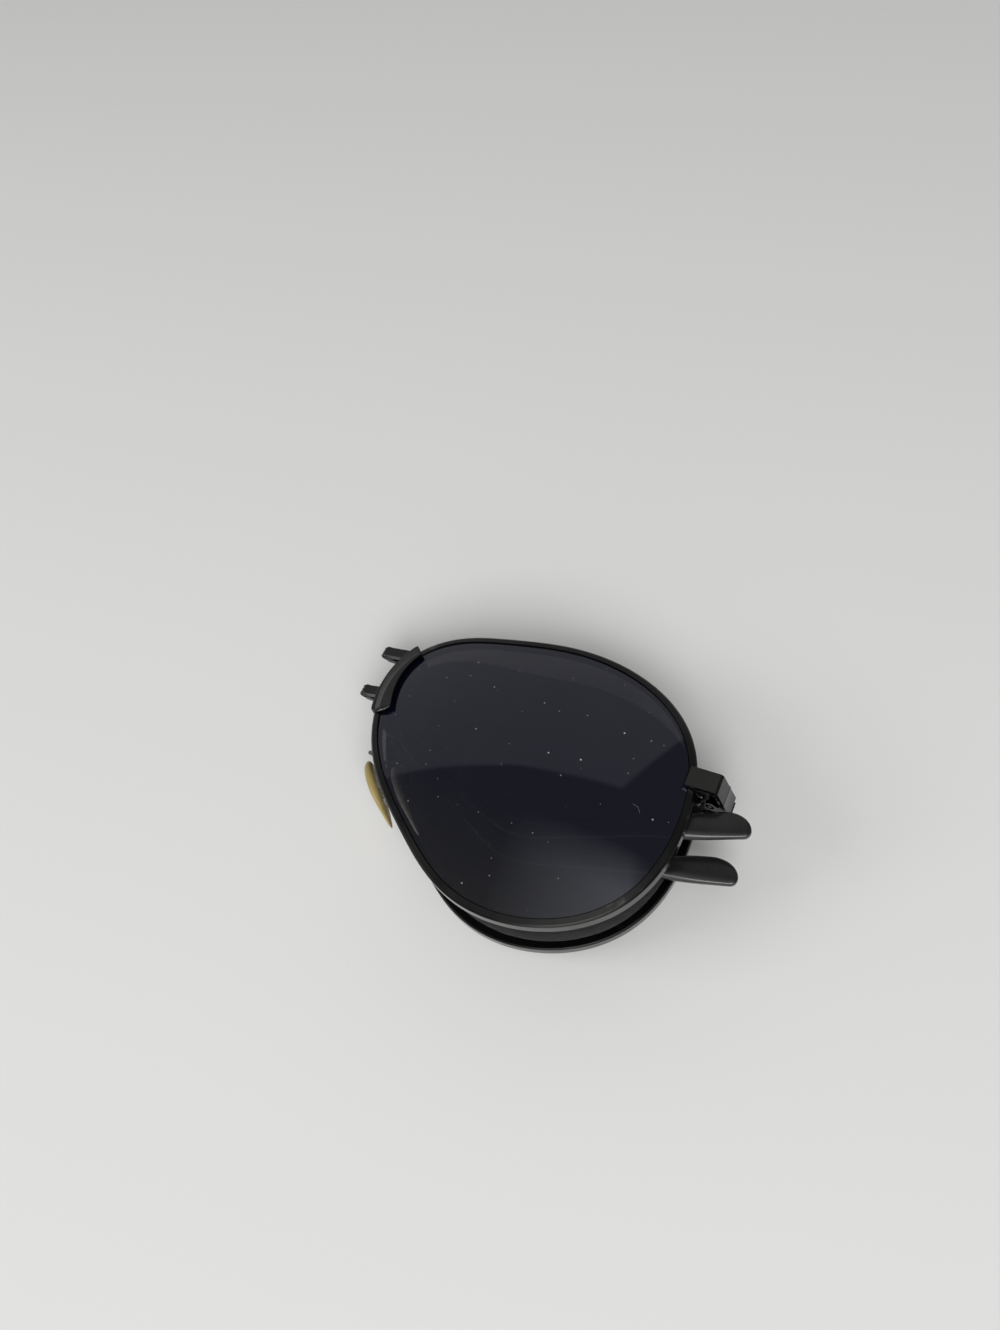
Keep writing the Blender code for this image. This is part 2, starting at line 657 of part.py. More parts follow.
def temple_rear(half):
    """The rear half: an eye on the rivet, a flat shaft, and a thin core that runs on inside the tip."""
    step_down = SLEEVE_START - CLEAR
    wide = flat_corners(REAR_SHAFT_HEIGHT, STRIP_THICKNESS - 2 * FACE_STEP)
    slim = flat_corners(CORE_WIDTH, CORE_THICKNESS)
    shaft = [rear_ring(half, s, wide) for s in travels(REAR_SHAFT_START, step_down - SHOULDER, 6)]
    core = [rear_ring(half, s, slim) for s in travels(step_down, CORE_LENGTH, 12)]
    solid = skin(shaft + core)

    def round_rivet(reach, radius):
        low = (MID_PIVOT_X, MID_PIVOT_Y, REAR_MIDDLE - reach)
        return cylinder(low, (MID_PIVOT_X, MID_PIVOT_Y, REAR_MIDDLE + reach), radius, 24)

    unite(solid, round_rivet(STRIP_THICKNESS / 2, REAR_EYE_RADIUS))
    return cut(solid, round_rivet(STRIP_THICKNESS, RIVET_RADIUS + CLEAR))


def ease(share):
    share = min(max(share, 0.0), 1.0)
    return share * share * (3 - 2 * share)


def tip_corners(travel):
    """The tip's oval section: a slim neck that opens into a thinner paddle with a round end."""
    spread = ease((travel - TIP_PADDLE_START) / (REAR_LENGTH - TIP_WIDEST_TO_END - TIP_PADDLE_START))
    width = TIP_NECK_WIDTH + (TIP_PADDLE_WIDTH - TIP_NECK_WIDTH) * spread
    thinned = ease((travel - TIP_THIN_START) / (REAR_LENGTH - TIP_THIN_START))
    thickness = TIP_THICKNESS - (TIP_THICKNESS - TIP_END_THICKNESS) * thinned
    to_end = REAR_LENGTH - travel
    round_off = TIP_PADDLE_WIDTH / 2
    if to_end < round_off:
        close = math.sqrt(max(1 - (1 - to_end / round_off) ** 2, 0))
        width *= max(close, 0.12)
        thickness *= max(close ** 0.5, 0.3)
    from_start = travel - SLEEVE_START
    if from_start < SLEEVE_LEAD_IN:
        lead_in = 0.88 + 0.12 * from_start / SLEEVE_LEAD_IN
        width *= lead_in
        thickness *= lead_in
    angles = [2 * math.pi * side / TIP_SIDES for side in range(TIP_SIDES)]
    return [(width / 2 * math.cos(a), thickness / 2 * math.sin(a)) for a in angles]


def temple_tip(half):
    """The plastic sleeve over the rear half's core."""
    lead_in_end = SLEEVE_START + SLEEVE_LEAD_IN
    stations = travels(SLEEVE_START, lead_in_end, 1)
    stations += travels(lead_in_end, REAR_LENGTH - TIP_PADDLE_WIDTH / 2, 16)[1:]
    stations += [REAR_LENGTH - share * TIP_PADDLE_WIDTH / 2 for share in TIP_END_SHARES]
    sleeve = skin([rear_ring(half, s, tip_corners(s)) for s in stations])
    room = flat_corners(CORE_WIDTH + 2 * CLEAR, CORE_THICKNESS + 2 * CLEAR)
    bore = skin([rear_ring(half, s, room) for s in travels(SLEEVE_START - 1, CORE_LENGTH + CLEAR, 12)])
    return cut(sleeve, bore)


# Nose pads

PAD_SLOPE = math.radians(PAD_SLOPE_DEG)
PAD_DOWN = Vector((math.cos(PAD_SLOPE), -math.sin(PAD_SLOPE), 0))
PAD_OUT = Vector((math.sin(PAD_SLOPE), math.cos(PAD_SLOPE), 0))
PAD_BOX_START = PAD_THICKNESS / 2 + CLEAR
PAD_SCREW_OUT = PAD_BOX_START + PAD_BOX_HEIGHT / 2
PAD_SCREW_ROOM = PAD_SCREW_RADIUS + 0.8 * CLEAR
PAD_BOX_INSIDE = PAD_LUG / 2 + CLEAR
PAD_BOX_OUTSIDE = PAD_BOX_INSIDE + PAD_BOX_CHEEK


def from_nose(offset):
    """A point measured from the lens's nose side, its middle height and the fold's depth."""
    return Vector((NOSE_X, LENS_CENTRE_Y, FOLD_DEPTH)) + Vector(offset)


def pad_point(half, down, out, depth):
    """A point near a pad: down its length, out from its middle away from the nose, and in depth."""
    centre = from_nose((*half.pad_centre, 0.0))
    return centre + down * PAD_DOWN + out * PAD_OUT + Vector((0, 0, depth))


def pad_block(half, low, high):
    (d0, o0, z0), (d1, o1, z1) = low, high
    corners = ((d0, o0), (d1, o0), (d1, o1), (d0, o1))
    return skin([[pad_point(half, down, out, z) for down, out in corners] for z in (z0, z1)])


def pad_cross_rod(half, reach, radius):
    """A round tool along the pad screw's axis."""
    low, high = (pad_point(half, 0, PAD_SCREW_OUT, depth) for depth in (-reach, reach))
    return cylinder(low, high, radius, 12)


def nose_pad(half):
    """An oval pad, rounded towards the nose, with a pocket for its core plate on the other side."""
    layers = ((-0.5, 0.72), (-0.32, 0.93), (0.1, 1.0), (0.5, 0.95))
    rings = []
    for share, scale in layers:
        ring = []
        for side in range(PAD_SIDES):
            angle = 2 * math.pi * side / PAD_SIDES
            down = PAD_LENGTH / 2 * math.cos(angle) * scale
            depth = PAD_WIDTH / 2 * math.sin(angle) * (1 - 0.12 * math.cos(angle)) * scale
            ring.append(pad_point(half, down, share * PAD_THICKNESS, depth))
        rings.append(ring)
    pad = skin(rings)
    length, width = CORE_PLATE_LENGTH / 2 + CLEAR, CORE_PLATE_WIDTH / 2 + CLEAR
    floor = PAD_THICKNESS / 2 - POCKET_DEPTH
    return cut(pad, pad_block(half, (-length, floor, -width), (length, PAD_THICKNESS, width)))


def pad_core(half):
    """The metal plate set in the pad, with the lug that its screw passes through."""
    floor = PAD_THICKNESS / 2 - POCKET_DEPTH + CLEAR
    plate = pad_block(half, (-CORE_PLATE_LENGTH / 2, floor, -CORE_PLATE_WIDTH / 2),
                      (CORE_PLATE_LENGTH / 2, floor + CORE_PLATE_THICKNESS, CORE_PLATE_WIDTH / 2))
    lug = pad_block(half, (-PAD_LUG_LENGTH / 2, floor + CORE_PLATE_THICKNESS / 2, -PAD_LUG / 2),
                    (PAD_LUG_LENGTH / 2, PAD_BOX_START + PAD_BOX_HEIGHT, PAD_LUG / 2))
    unite(plate, lug)
    return cut(plate, pad_cross_rod(half, PAD_LUG, PAD_SCREW_ROOM))


def pad_box(half):
    """The box on the arm: two cheeks beside the lug, joined at the end where the arm comes in."""
    low, high = PAD_BOX_START, PAD_BOX_START + PAD_BOX_HEIGHT
    box = pad_block(half, (-PAD_BOX_LENGTH, low, -PAD_BOX_OUTSIDE), (PAD_BOX_END, high, PAD_BOX_OUTSIDE))
    slot = pad_block(half, (-PAD_LUG_LENGTH / 2 - CLEAR, low - 1, -PAD_BOX_INSIDE),
                     (PAD_BOX_END + 1, high + 1, PAD_BOX_INSIDE))
    return cut(box, slot, pad_cross_rod(half, 2 * PAD_BOX_OUTSIDE, PAD_SCREW_ROOM))


def pad_screw(half):
    shank = 2 * PAD_BOX_OUTSIDE + PAD_SCREW_GAP
    total = shank + PAD_SCREW_HEAD_HEIGHT
    head = shank / total
    profile = ((0, PAD_SCREW_RADIUS), (head, PAD_SCREW_RADIUS), (head + 0.001, PAD_SCREW_HEAD_RADIUS),
               (1, PAD_SCREW_HEAD_RADIUS * 0.8))
    start = pad_point(half, 0, PAD_SCREW_OUT, PAD_BOX_OUTSIDE)
    return rod(start, start - Vector((0, 0, total)), profile, 12)


def pad_arm(half):
    """The bent wire from the back of the rim to the pad box."""
    angle = math.radians(ARM_ROOT_DEG)
    root = outline(angle, RIM_OUTER - RIM_WIDTH / 2)
    root.z = rim_front(angle) + RIM_DEPTH + CLEAR
    end = -PAD_BOX_LENGTH - CLEAR
    last = pad_point(half, end, PAD_SCREW_OUT, 0)
    before = pad_point(half, end - 3 * ARM_RADIUS, PAD_SCREW_OUT, 0)
    bends = [from_nose(offset) for offset in half.arm_points]
    return wire([root, *bends, before, last], ARM_RADIUS)


# Assembly

def finish_material(node, finish):
    colour, roughness, metallic = finish
    material = bpy.data.materials.new(node + "_finish")
    material.use_nodes = True
    shader = material.node_tree.nodes["Principled BSDF"]
    shader.inputs["Base Color"].default_value = (*colour, 1.0)
    shader.inputs["Roughness"].default_value = roughness
    shader.inputs["Metallic"].default_value = metallic
    return material


def axis_empty(name, parent, offset):
    """An empty that carries what turns about one joint; offset is from its parent, in metres."""
    empty = bpy.data.objects.new(name, None)
    empty.empty_display_size = 0.005
    bpy.context.scene.collection.objects.link(empty)
    empty.parent = parent
    empty.location = offset
    return empty


def place(solid, node, carrier, pivot, half, finish):
    """Give a solid drawn in the half frame its name, finish and carrier, with its origin at the pivot."""
    mesh = solid.data
    mirror = Matrix.Diagonal((MM, MM, MM * half.sign, 1.0))
    mesh.transform(mirror @ Matrix.Translation(-Vector(pivot)))
    if half.sign < 0:
        mesh.flip_normals()
    mesh.shade_smooth()
    mesh.set_sharp_from_angle(angle=math.radians(32))
    mesh.materials.clear()
    mesh.materials.append(finish_material(node, finish))
    mesh.name = node
    solid.name = node
    solid.parent = carrier


def offset_between(pivot, origin, half):
    gap = Vector(pivot) - Vector(origin)
    return Vector((gap.x * MM, gap.y * MM, gap.z * MM * half.sign))


def build_half(half, carrier):
    """All pieces of one half. The bridge pins belong to the right half, which has the outer knuckles."""
    fold = (0.0, 0.0, FOLD_DEPTH)
    side = half.name + "_"
    fixed = (
        ("lens", lens(), SMOKE_LENS), ("rim", rim(), BLACK_METAL), ("rim_screw", rim_screw(), DARK_STEEL),
        ("bridge_bracket", bridge_bracket(), BLACK_METAL),
        ("brow_bar", bridge_bar(BROW_BAR_Y, half.sign > 0), BLACK_METAL),
        ("lower_bridge_bar", bridge_bar(LOWER_BAR_Y, half.sign > 0), BLACK_METAL),
        ("end_piece", end_piece(), BLACK_METAL), ("hinge_screw", hinge_screw(), DARK_STEEL),
        ("pad_arm", pad_arm(half), PLATED_STEEL), ("pad_box", pad_box(half), PLATED_STEEL),
        ("pad_screw", pad_screw(half), PLATED_STEEL),
    )
    for name, solid, finish in fixed:
        place(solid, side + name, carrier, fold, half, finish)

    hinge = (HINGE_X, HINGE_Y, HINGE_DEPTH)
    temple = axis_empty(side + "temple_hinge_axis", carrier, offset_between(hinge, fold, half))
    place(temple_front(), side + "temple_front", temple, hinge, half, BLACK_METAL)
    place(mid_rivet(), side + "mid_rivet", temple, hinge, half, DARK_STEEL)

    pivot = (MID_PIVOT_X, MID_PIVOT_Y, REAR_MIDDLE)
    rear = axis_empty(side + "mid_pivot_axis", temple, offset_between(pivot, hinge, half))
    place(temple_rear(half), side + "temple_rear", rear, pivot, half, BLACK_METAL)
    place(temple_tip(half), side + "temple_tip", rear, pivot, half, BLACK_GLOSS)

    swivel = tuple(pad_point(half, 0, PAD_SCREW_OUT, 0))
    pad = axis_empty(side + "pad_axis", carrier, offset_between(swivel, fold, half))
    silicone = CLEAR_SILICONE if half.sign > 0 else AMBER_SILICONE
    place(nose_pad(half), side + "nose_pad", pad, swivel, half, silicone)
    place(pad_core(half), side + "pad_core", pad, swivel, half, PLATED_STEEL)


def build():
    assembly = axis_empty("assembly", None, (0, 0, 0))
    fold = (0.0, 0.0, FOLD_DEPTH)
    right = axis_empty("right_half_fold_axis", assembly, (0, 0, FOLD_DEPTH * MM))
    left = axis_empty("left_half_fold_axis", assembly, (0, 0, FOLD_DEPTH * MM))
    left.rotation_euler = (0, -math.radians(WEDGE_DEG), 0)
    build_half(RIGHT, right)
    build_half(LEFT, left)
    place(bridge_pin(BROW_BAR_Y), "brow_hinge_pin", right, fold, RIGHT, DARK_STEEL)
    place(bridge_pin(LOWER_BAR_Y), "lower_bridge_hinge_pin", right, fold, RIGHT, DARK_STEEL)

    # The origin goes to the middle of the folded pair's footprint, on the surface that it lies on
    bpy.context.view_layer.update()
    corners = [piece.matrix_world @ vertex.co for piece in bpy.data.objects if piece.type == "MESH"
               for vertex in piece.data.vertices]
    low = [min(corner[axis] for corner in corners) for axis in range(3)]
    high = [max(corner[axis] for corner in corners) for axis in range(3)]
    assembly.location = (-(low[0] + high[0]) / 2, -(low[1] + high[1]) / 2, -low[2])
    bpy.context.view_layer.update()


build()
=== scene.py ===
"""Looks of the folding aviator sunglasses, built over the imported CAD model.

Pieces that replace a CAD node are drawn in the same half frame as the CAD, in millimetres:
  x  from the bridge's fold axis out to the temple hinge
  y  up the face
  z  from the lens's front apex back towards the wearer
"""
import json
import math

import bmesh
import bpy
import numpy as np
from mathutils import Matrix, Vector

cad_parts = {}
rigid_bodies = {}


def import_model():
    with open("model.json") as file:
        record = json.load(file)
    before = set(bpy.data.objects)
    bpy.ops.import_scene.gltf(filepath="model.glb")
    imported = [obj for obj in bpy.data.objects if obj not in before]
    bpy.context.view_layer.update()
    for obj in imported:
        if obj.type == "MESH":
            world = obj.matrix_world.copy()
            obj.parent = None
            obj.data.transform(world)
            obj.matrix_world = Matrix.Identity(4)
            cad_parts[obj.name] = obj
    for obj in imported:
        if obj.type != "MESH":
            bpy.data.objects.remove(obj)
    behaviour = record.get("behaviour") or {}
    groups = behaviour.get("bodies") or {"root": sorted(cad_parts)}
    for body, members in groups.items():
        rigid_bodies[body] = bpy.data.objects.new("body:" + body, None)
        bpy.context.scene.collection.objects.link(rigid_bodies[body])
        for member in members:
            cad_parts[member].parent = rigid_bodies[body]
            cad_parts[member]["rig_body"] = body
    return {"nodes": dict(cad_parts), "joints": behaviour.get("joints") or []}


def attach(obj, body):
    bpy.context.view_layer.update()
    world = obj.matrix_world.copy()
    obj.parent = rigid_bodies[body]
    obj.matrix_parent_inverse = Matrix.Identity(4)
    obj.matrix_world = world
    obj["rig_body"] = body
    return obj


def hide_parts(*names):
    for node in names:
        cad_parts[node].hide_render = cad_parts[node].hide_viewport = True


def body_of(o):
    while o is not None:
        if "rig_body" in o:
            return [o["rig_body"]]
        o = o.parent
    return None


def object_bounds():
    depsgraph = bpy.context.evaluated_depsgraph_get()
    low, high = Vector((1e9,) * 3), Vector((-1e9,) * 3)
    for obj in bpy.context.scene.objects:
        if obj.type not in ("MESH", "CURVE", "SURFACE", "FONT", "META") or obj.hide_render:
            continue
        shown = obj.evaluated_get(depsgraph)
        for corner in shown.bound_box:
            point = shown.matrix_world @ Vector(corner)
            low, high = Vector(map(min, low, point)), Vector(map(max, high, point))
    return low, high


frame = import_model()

MM = 0.001
WELD = 1e-6
FLAT_ENOUGH = math.radians(1.0)
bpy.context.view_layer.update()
nodes = frame["nodes"]
joints = {joint["name"]: joint for joint in frame["joints"]}

# Dimensions shared with the CAD, in millimetres
CLEAR = 0.3
HALF_GAP = 0.2
NOSE_X = 6.0
LENS_WIDTH = 58.0
LENS_HEIGHT = 47.8
LENS_CENTRE = Vector((NOSE_X + LENS_WIDTH / 2, -9.8, 0.0))
LENS_THICKNESS = 1.8
LENS_CURVE_RADIUS = 88.0
LENS_SHAPE = (1.0, 0.998, 0.896, 0.819, 0.880, 1.080, 0.927, 0.741, 0.700, 0.798, 0.908, 0.995)
RIM_WIDTH = 1.5
RIM_DEPTH = 2.35
GROOVE_DEPTH = 0.7
RIM_SPLIT = 0.4
RIM_OUTER = RIM_WIDTH - GROOVE_DEPTH
RIM_PROUD = (RIM_DEPTH - LENS_THICKNESS) / 2
BRACKET_FROM_DEG = 148.0
BRACKET_TO_DEG = 173.0
BRACKET_WIDTH = 0.9
BRACKET_PROUD = 0.6
BRACKET_SHORT = 0.6
END_PIECE_Y = -2.0
END_PIECE_HEIGHT = 3.4
END_REACH = 3.9
LUG_WIDTH = 2.5
LUG_DEPTH = 2.2
LUG_INSET = 0.1
RIM_SCREW_RADIUS = 0.42
HINGE_FROM_CORNER = 1.3
HINGE_Y = -2.05
HINGE_HEIGHT = 3.9
SCREW_HEAD_RADIUS = 0.8
SCREW_HEAD_HEIGHT = 0.5
PIVOT_X = NOSE_X + 4.0
PIVOT_Y = -7.6
STRIP_THICKNESS = 0.8
RIVET_RADIUS = 0.65
RIVET_HEAD_RADIUS = 1.5
RIVET_HEAD_HEIGHT = 0.5
RIVET_TO_LENS = 0.95
SHAFT_LENGTH = 30.5
TIP_LENGTH = 38.0
BEND = math.radians(43.5)
BEND_RADIUS = 14.0
REAR_RISE = 1.2
REAR_RISE_START = 8.0
SLEEVE_START = 27.0
TIP_THICKNESS = 2.2
TIP_END_THICKNESS = 1.5
TIP_THIN_START = 54.0
TIP_NECK_WIDTH = 2.8
TIP_PADDLE_WIDTH = 4.4
PAD_LENGTH = 13.8
PAD_WIDTH = 6.4
PAD_THICKNESS = 1.5
PAD_SLOPE = math.radians(43.0)
PAD_BOX_LENGTH = 1.8
PAD_BOX_HEIGHT = 1.2
ARM_RADIUS = 0.4
ARM_ROOT = math.radians(192.0)

# Dimensions of the looks alone, in millimetres

# The rim's face, the lip that leads down from it to the lens, and the bevel on its outer edge
RIM_FACE_FROM = -0.38
RIM_FACE_TO = 0.48
RIM_LIP = -0.55
RIM_LIP_DEPTH = 0.24
RIM_BEVEL_DEPTH = 0.32
LENS_FACE_EDGE = 0.53
LENS_EDGE_HALF = 0.15
# A section follows the lens's slope up to this offset from the groove, and is upright past it
SLOPED_TO = 0.4
LUG_ROUND = 0.2
# The bracket's wall: its front edge falls back towards its foot
WALL_OVER_FRONT = 0.1
WALL_FALL = 1.2
WALL_END_ROUND = 0.5
WALL_BACK_ROUND = 0.4
# The bracket's flange: its ridge lies over the lens's edge, and it is broadest at its foot
FLANGE_RIDGE = 0.5
FLANGE_REACH_TOP = 0.95
FLANGE_REACH_FOOT = 2.85
FLANGE_END_ROUND = 1.1
FLANGE_LIFT = 0.16
FLANGE_WITHIN_WALL = 0.3
FLANGE_EDGE_FOOT = 0.55
FLANGE_OUTER_THICKNESS = 0.14
FLANGE_FROM_DEG = BRACKET_FROM_DEG + 0.2
FLANGE_TO_DEG = BRACKET_TO_DEG + 2.5
# The tip's near edge runs nearly straight; its far edge flares late and is cut back at the end
TIP_NEAR = 1.9
TIP_FAR = 2.6
TIP_FLARE_START = 50.0
TIP_FLARE_END = 62.0
TIP_END_ACROSS = -0.6
TIP_NEAR_ROUND = 1.3
TIP_FAR_ROUND = 4.2
TIP_FACE_ROUND = 1.0
TIP_MOUTH = 0.8
# The pad curls up at its ends, more at the top one, and thins towards its foot
PAD_CURL_TOP = 0.6
PAD_CURL_FOOT = 0.2
PAD_THINNED_BY = 0.6
PAD_TAPER = 0.12
PAD_ROLL = 0.20
# The solder foot of a pad's arm: how much it adds to the wire's radius, and over what length
FOOT_SWELL = 0.55
FOOT_LENGTH = 0.45


# Meshes

def loft(rings, closed=False):
    """Vertices and faces through rings of points, with a flat cap at each end unless closed."""
    count = len(rings[0])
    vertices = [Vector(point) for ring in rings for point in ring]
    faces = []
    for ring in range(len(rings) if closed else len(rings) - 1):
        here = ring * count
        there = (ring + 1) % len(rings) * count
        for side in range(count):
            after = (side + 1) % count
            faces.append((here + side, here + after, there + after, there + side))
    if not closed:
        last = (len(rings) - 1) * count
        faces.append(tuple(reversed(range(count))))
        faces.append(tuple(range(last, last + count)))
    return vertices, faces


def join(*shells):
    """Several shells as one."""
    vertices, faces = [], []
    for shell_vertices, shell_faces in shells:
        start = len(vertices)
        vertices += shell_vertices
        faces += [tuple(index + start for index in face) for face in shell_faces]
    return vertices, faces


def rounded(corners, steps=5):
    """A closed outline whose corners, given as (u, w, radius), are rounded off."""
    points = []
    count = len(corners)
    for index, (u, w, radius) in enumerate(corners):
        here = Vector((u, w))
        back = Vector(corners[index - 1][:2]) - here
        ahead = Vector(corners[(index + 1) % count][:2]) - here
        if radius <= 0:
            points.append(here)
            continue
        half_turn = back.angle(ahead) / 2
        reach = min(radius / math.tan(half_turn), 0.49 * back.length, 0.49 * ahead.length)
        start = here + reach * back.normalized()
        end = here + reach * ahead.normalized()
        for step in range(steps + 1):
            t = step / steps
            points.append((1 - t) ** 2 * start + 2 * t * (1 - t) * here + t * t * end)
    return points


def circle(centre, radius, across, up, sides):
    """Points round a centre, in the plane of two directions."""
    angles = [2 * math.pi * side / sides for side in range(sides)]
    return [centre + radius * (math.cos(a) * across + math.sin(a) * up) for a in angles]


def mesh_of(name, vertices, faces):
    """A mesh whose faces all look outwards."""
    mesh = bpy.data.meshes.new(name)
    mesh.from_pydata(vertices, [], faces)
    shape = bmesh.new()
    shape.from_mesh(mesh)
    bmesh.ops.recalc_face_normals(shape, faces=shape.faces)
    shape.to_mesh(mesh)
    shape.free()
    return mesh


def add_object(name, data):
    thing = bpy.data.objects.new(name, data)
    bpy.context.scene.collection.objects.link(thing)
    return thing


def make(name, shell, to_row, body, material, stands_for, sharp_deg=38.0):
    """A piece from a shell drawn in a half frame: placed, smoothed and tied to its body; the node it
    stands for is hidden.
    """
    vertices, faces = shell
    mesh = mesh_of(name, [to_row @ Vector(v) for v in vertices], faces)
    mesh.shade_smooth()
    mesh.set_sharp_from_angle(angle=math.radians(sharp_deg))
    mesh.materials.append(material)
    piece = add_object(name, mesh)
    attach(piece, body)
    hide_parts(stands_for)
    flat = piece.modifiers.new("flats", "WEIGHTED_NORMAL")
    flat.keep_sharp = True
    return piece


def paint(piece, faces, material):
    """Give some faces of a piece a material of their own."""
    piece.data.materials.append(material)
    for index in faces:
        piece.data.polygons[index].material_index = len(piece.data.materials) - 1


def soften(node, material, width_mm, segments=3, angle_deg=28.0, edges=None):
    """A copy of a CAD node in its place, with rounded edges, which may be painted in a material of their
    own, such as a painted highlight.
    """
    shape = bmesh.new()
    shape.from_mesh(nodes[node].data)
    bmesh.ops.remove_doubles(shape, verts=shape.verts, dist=WELD)
    bmesh.ops.dissolve_limit(shape, angle_limit=FLAT_ENOUGH, verts=shape.verts, edges=shape.edges)
    mesh = bpy.data.meshes.new(node + "_soft")
    shape.to_mesh(mesh)
    shape.free()
    for name in [a.name for a in mesh.attributes if a.name == "custom_normal"]:
        mesh.attributes.remove(mesh.attributes[name])
    mesh.shade_smooth()
    mesh.set_sharp_from_angle(angle=math.radians(angle_deg))
    mesh.materials.append(material)
    piece = add_object(node + "_soft", mesh)
    bevel = piece.modifiers.new("edges", "BEVEL")
    bevel.width = width_mm * MM
    bevel.segments = segments
    bevel.limit_method = "ANGLE"
    bevel.angle_limit = math.radians(angle_deg)
    bevel.harden_normals = True
    bevel.miter_outer = "MITER_ARC"
    if edges:
        mesh.materials.append(edges)
        bevel.material = 1
    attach(piece, body_of(nodes[node])[0])
    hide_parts(node)
    return piece


# Outline of the lens, as in the CAD

def closed_spline(values):
    """A smooth closed curve through values at even angles, as a function of the angle."""
    known = np.array(values)
    count = len(known)
    step = 2 * math.pi / count
    system = 4 * np.eye(count) + np.roll(np.eye(count), 1, 0) + np.roll(np.eye(count), -1, 0)
    bend = np.linalg.solve(system, 6 / step ** 2 * (np.roll(known, 1) - 2 * known + np.roll(known, -1)))

    def value(angle):
        place = angle % (2 * math.pi) / step
        low = int(place) % count
        high = (low + 1) % count
        share = place - int(place)
        rest = 1 - share
        curve = (rest ** 3 - rest) * bend[low] + (share ** 3 - share) * bend[high]
        return rest * known[low] + share * known[high] + curve * step ** 2 / 6

    return value


shape_radius = closed_spline(LENS_SHAPE)
turn = np.radians(np.arange(0, 360, 2))
plain_x = np.array([shape_radius(a) * math.cos(a) for a in turn])
plain_y = np.array([shape_radius(a) * math.sin(a) for a in turn])


def groove_point(angle):
    """Point on the groove's mouth, where the lens's boxed size is measured."""
    radius = shape_radius(angle)
    x = (radius * math.cos(angle) - (plain_x.max() + plain_x.min()) / 2) / np.ptp(plain_x) * LENS_WIDTH
    y = (radius * math.sin(angle) - (plain_y.max() + plain_y.min()) / 2) / np.ptp(plain_y) * LENS_HEIGHT
    return LENS_CENTRE + Vector((x, y, 0.0))


def outline(angle, offset=0.0):
    """Point beside the groove's mouth, outwards for a positive offset."""
    nudge = math.radians(0.5)
    along = (groove_point(angle + nudge) - groove_point(angle - nudge)).normalized()
    return groove_point(angle) + offset * Vector((along.y, -along.x, 0.0))


def sag(point):
    """Depth of the lens's front face behind its apex."""
    square = (point.x - LENS_CENTRE.x) ** 2 + (point.y - LENS_CENTRE.y) ** 2
    return LENS_CURVE_RADIUS - math.sqrt(LENS_CURVE_RADIUS ** 2 - square)


def rim_front(angle):
    return sag(groove_point(angle)) - RIM_PROUD


def angle_at_height(y, near):
    """Angle at which the rim's outer edge crosses a height, close to a given angle."""
    span = math.radians(25)
    low, high = near - span, near + span
    for _ in range(40):
        middle = (low + high) / 2
        too_high = (outline(middle, RIM_OUTER).y > y) == (math.cos(near) > 0)
        low, high = (low, middle) if too_high else (middle, high)
    return (low + high) / 2


RIVET_TOP = sag(Vector((PIVOT_X, PIVOT_Y, 0.0))) + LENS_THICKNESS + RIVET_TO_LENS
REAR_MIDDLE = RIVET_TOP + RIVET_HEAD_HEIGHT + CLEAR + STRIP_THICKNESS / 2
STRIP_FRONT = REAR_MIDDLE + STRIP_THICKNESS / 2 + CLEAR
STRIP_BACK = STRIP_FRONT + STRIP_THICKNESS
HINGE_DEPTH = (STRIP_FRONT + STRIP_BACK) / 2
FOLD_DEPTH = STRIP_BACK + HALF_GAP
BRACKET_BACK = FOLD_DEPTH - BRACKET_SHORT
END_ANGLE = angle_at_height(END_PIECE_Y, math.radians(16))
RIM_EDGE_X = outline(END_ANGLE, RIM_OUTER).x
LUG_FRONT = rim_front(END_ANGLE) + LUG_INSET
RIM_SCREW_X = RIM_EDGE_X + LUG_WIDTH / 2
RIM_SCREW_DEPTH = LUG_FRONT + LUG_DEPTH / 2
HINGE_X = RIM_EDGE_X + END_REACH - HINGE_FROM_CORNER


class Half:
    """One half of the pair: its name, and the way from its half frame to the row frame."""

    def __init__(self, name, sign, back, rear_deg, pad_centre, arm_points):
        self.name = name
        self.rear_heading = math.radians(rear_deg)
        self.pad_centre = self.from_nose((*pad_centre, 0.0))
        self.arm_points = [self.from_nose(offset) for offset in arm_points]
        up = Vector((0.0, 1.0, 0.0))
        back = back.normalized()
        out = sign * up.cross(back)
        fold = Vector(joints["bridge_fold"]["pos_m"])
        corner = fold - FOLD_DEPTH * MM * back
        columns = (out * MM, up * MM, back * MM, corner)
        self.to_row = Matrix([[column[row] for column in columns] for row in range(3)] + [[0, 0, 0, 1]])

    @staticmethod
    def from_nose(offset):
        """Point given from the nose side of the lens, at its centre's height and the fold's depth."""
        return Vector((NOSE_X, LENS_CENTRE.y, FOLD_DEPTH)) + Vector(offset)

    def body(self, part="half"):
        return self.name + "_" + part

    def node(self, part):
        return self.name + "_" + part


RIGHT = Half("right", 1, -Vector(joints["right_mid_pivot"]["axis"]), rear_deg=-27.5,
             pad_centre=(11.1, -9.6),
             arm_points=((3.3, -4.1, -1.6), (5.6, -3.3, -0.6), (8.6, -3.7, 0.0)))
LEFT = Half("left", -1, Vector(joints["left_mid_pivot"]["axis"]), rear_deg=-22.0,
            pad_centre=(6.5, -10.4),
            arm_points=((2.1, -4.1, -1.8), (3.4, -4.0, -0.8), (4.5, -5.1, 0.0)))


# Materials

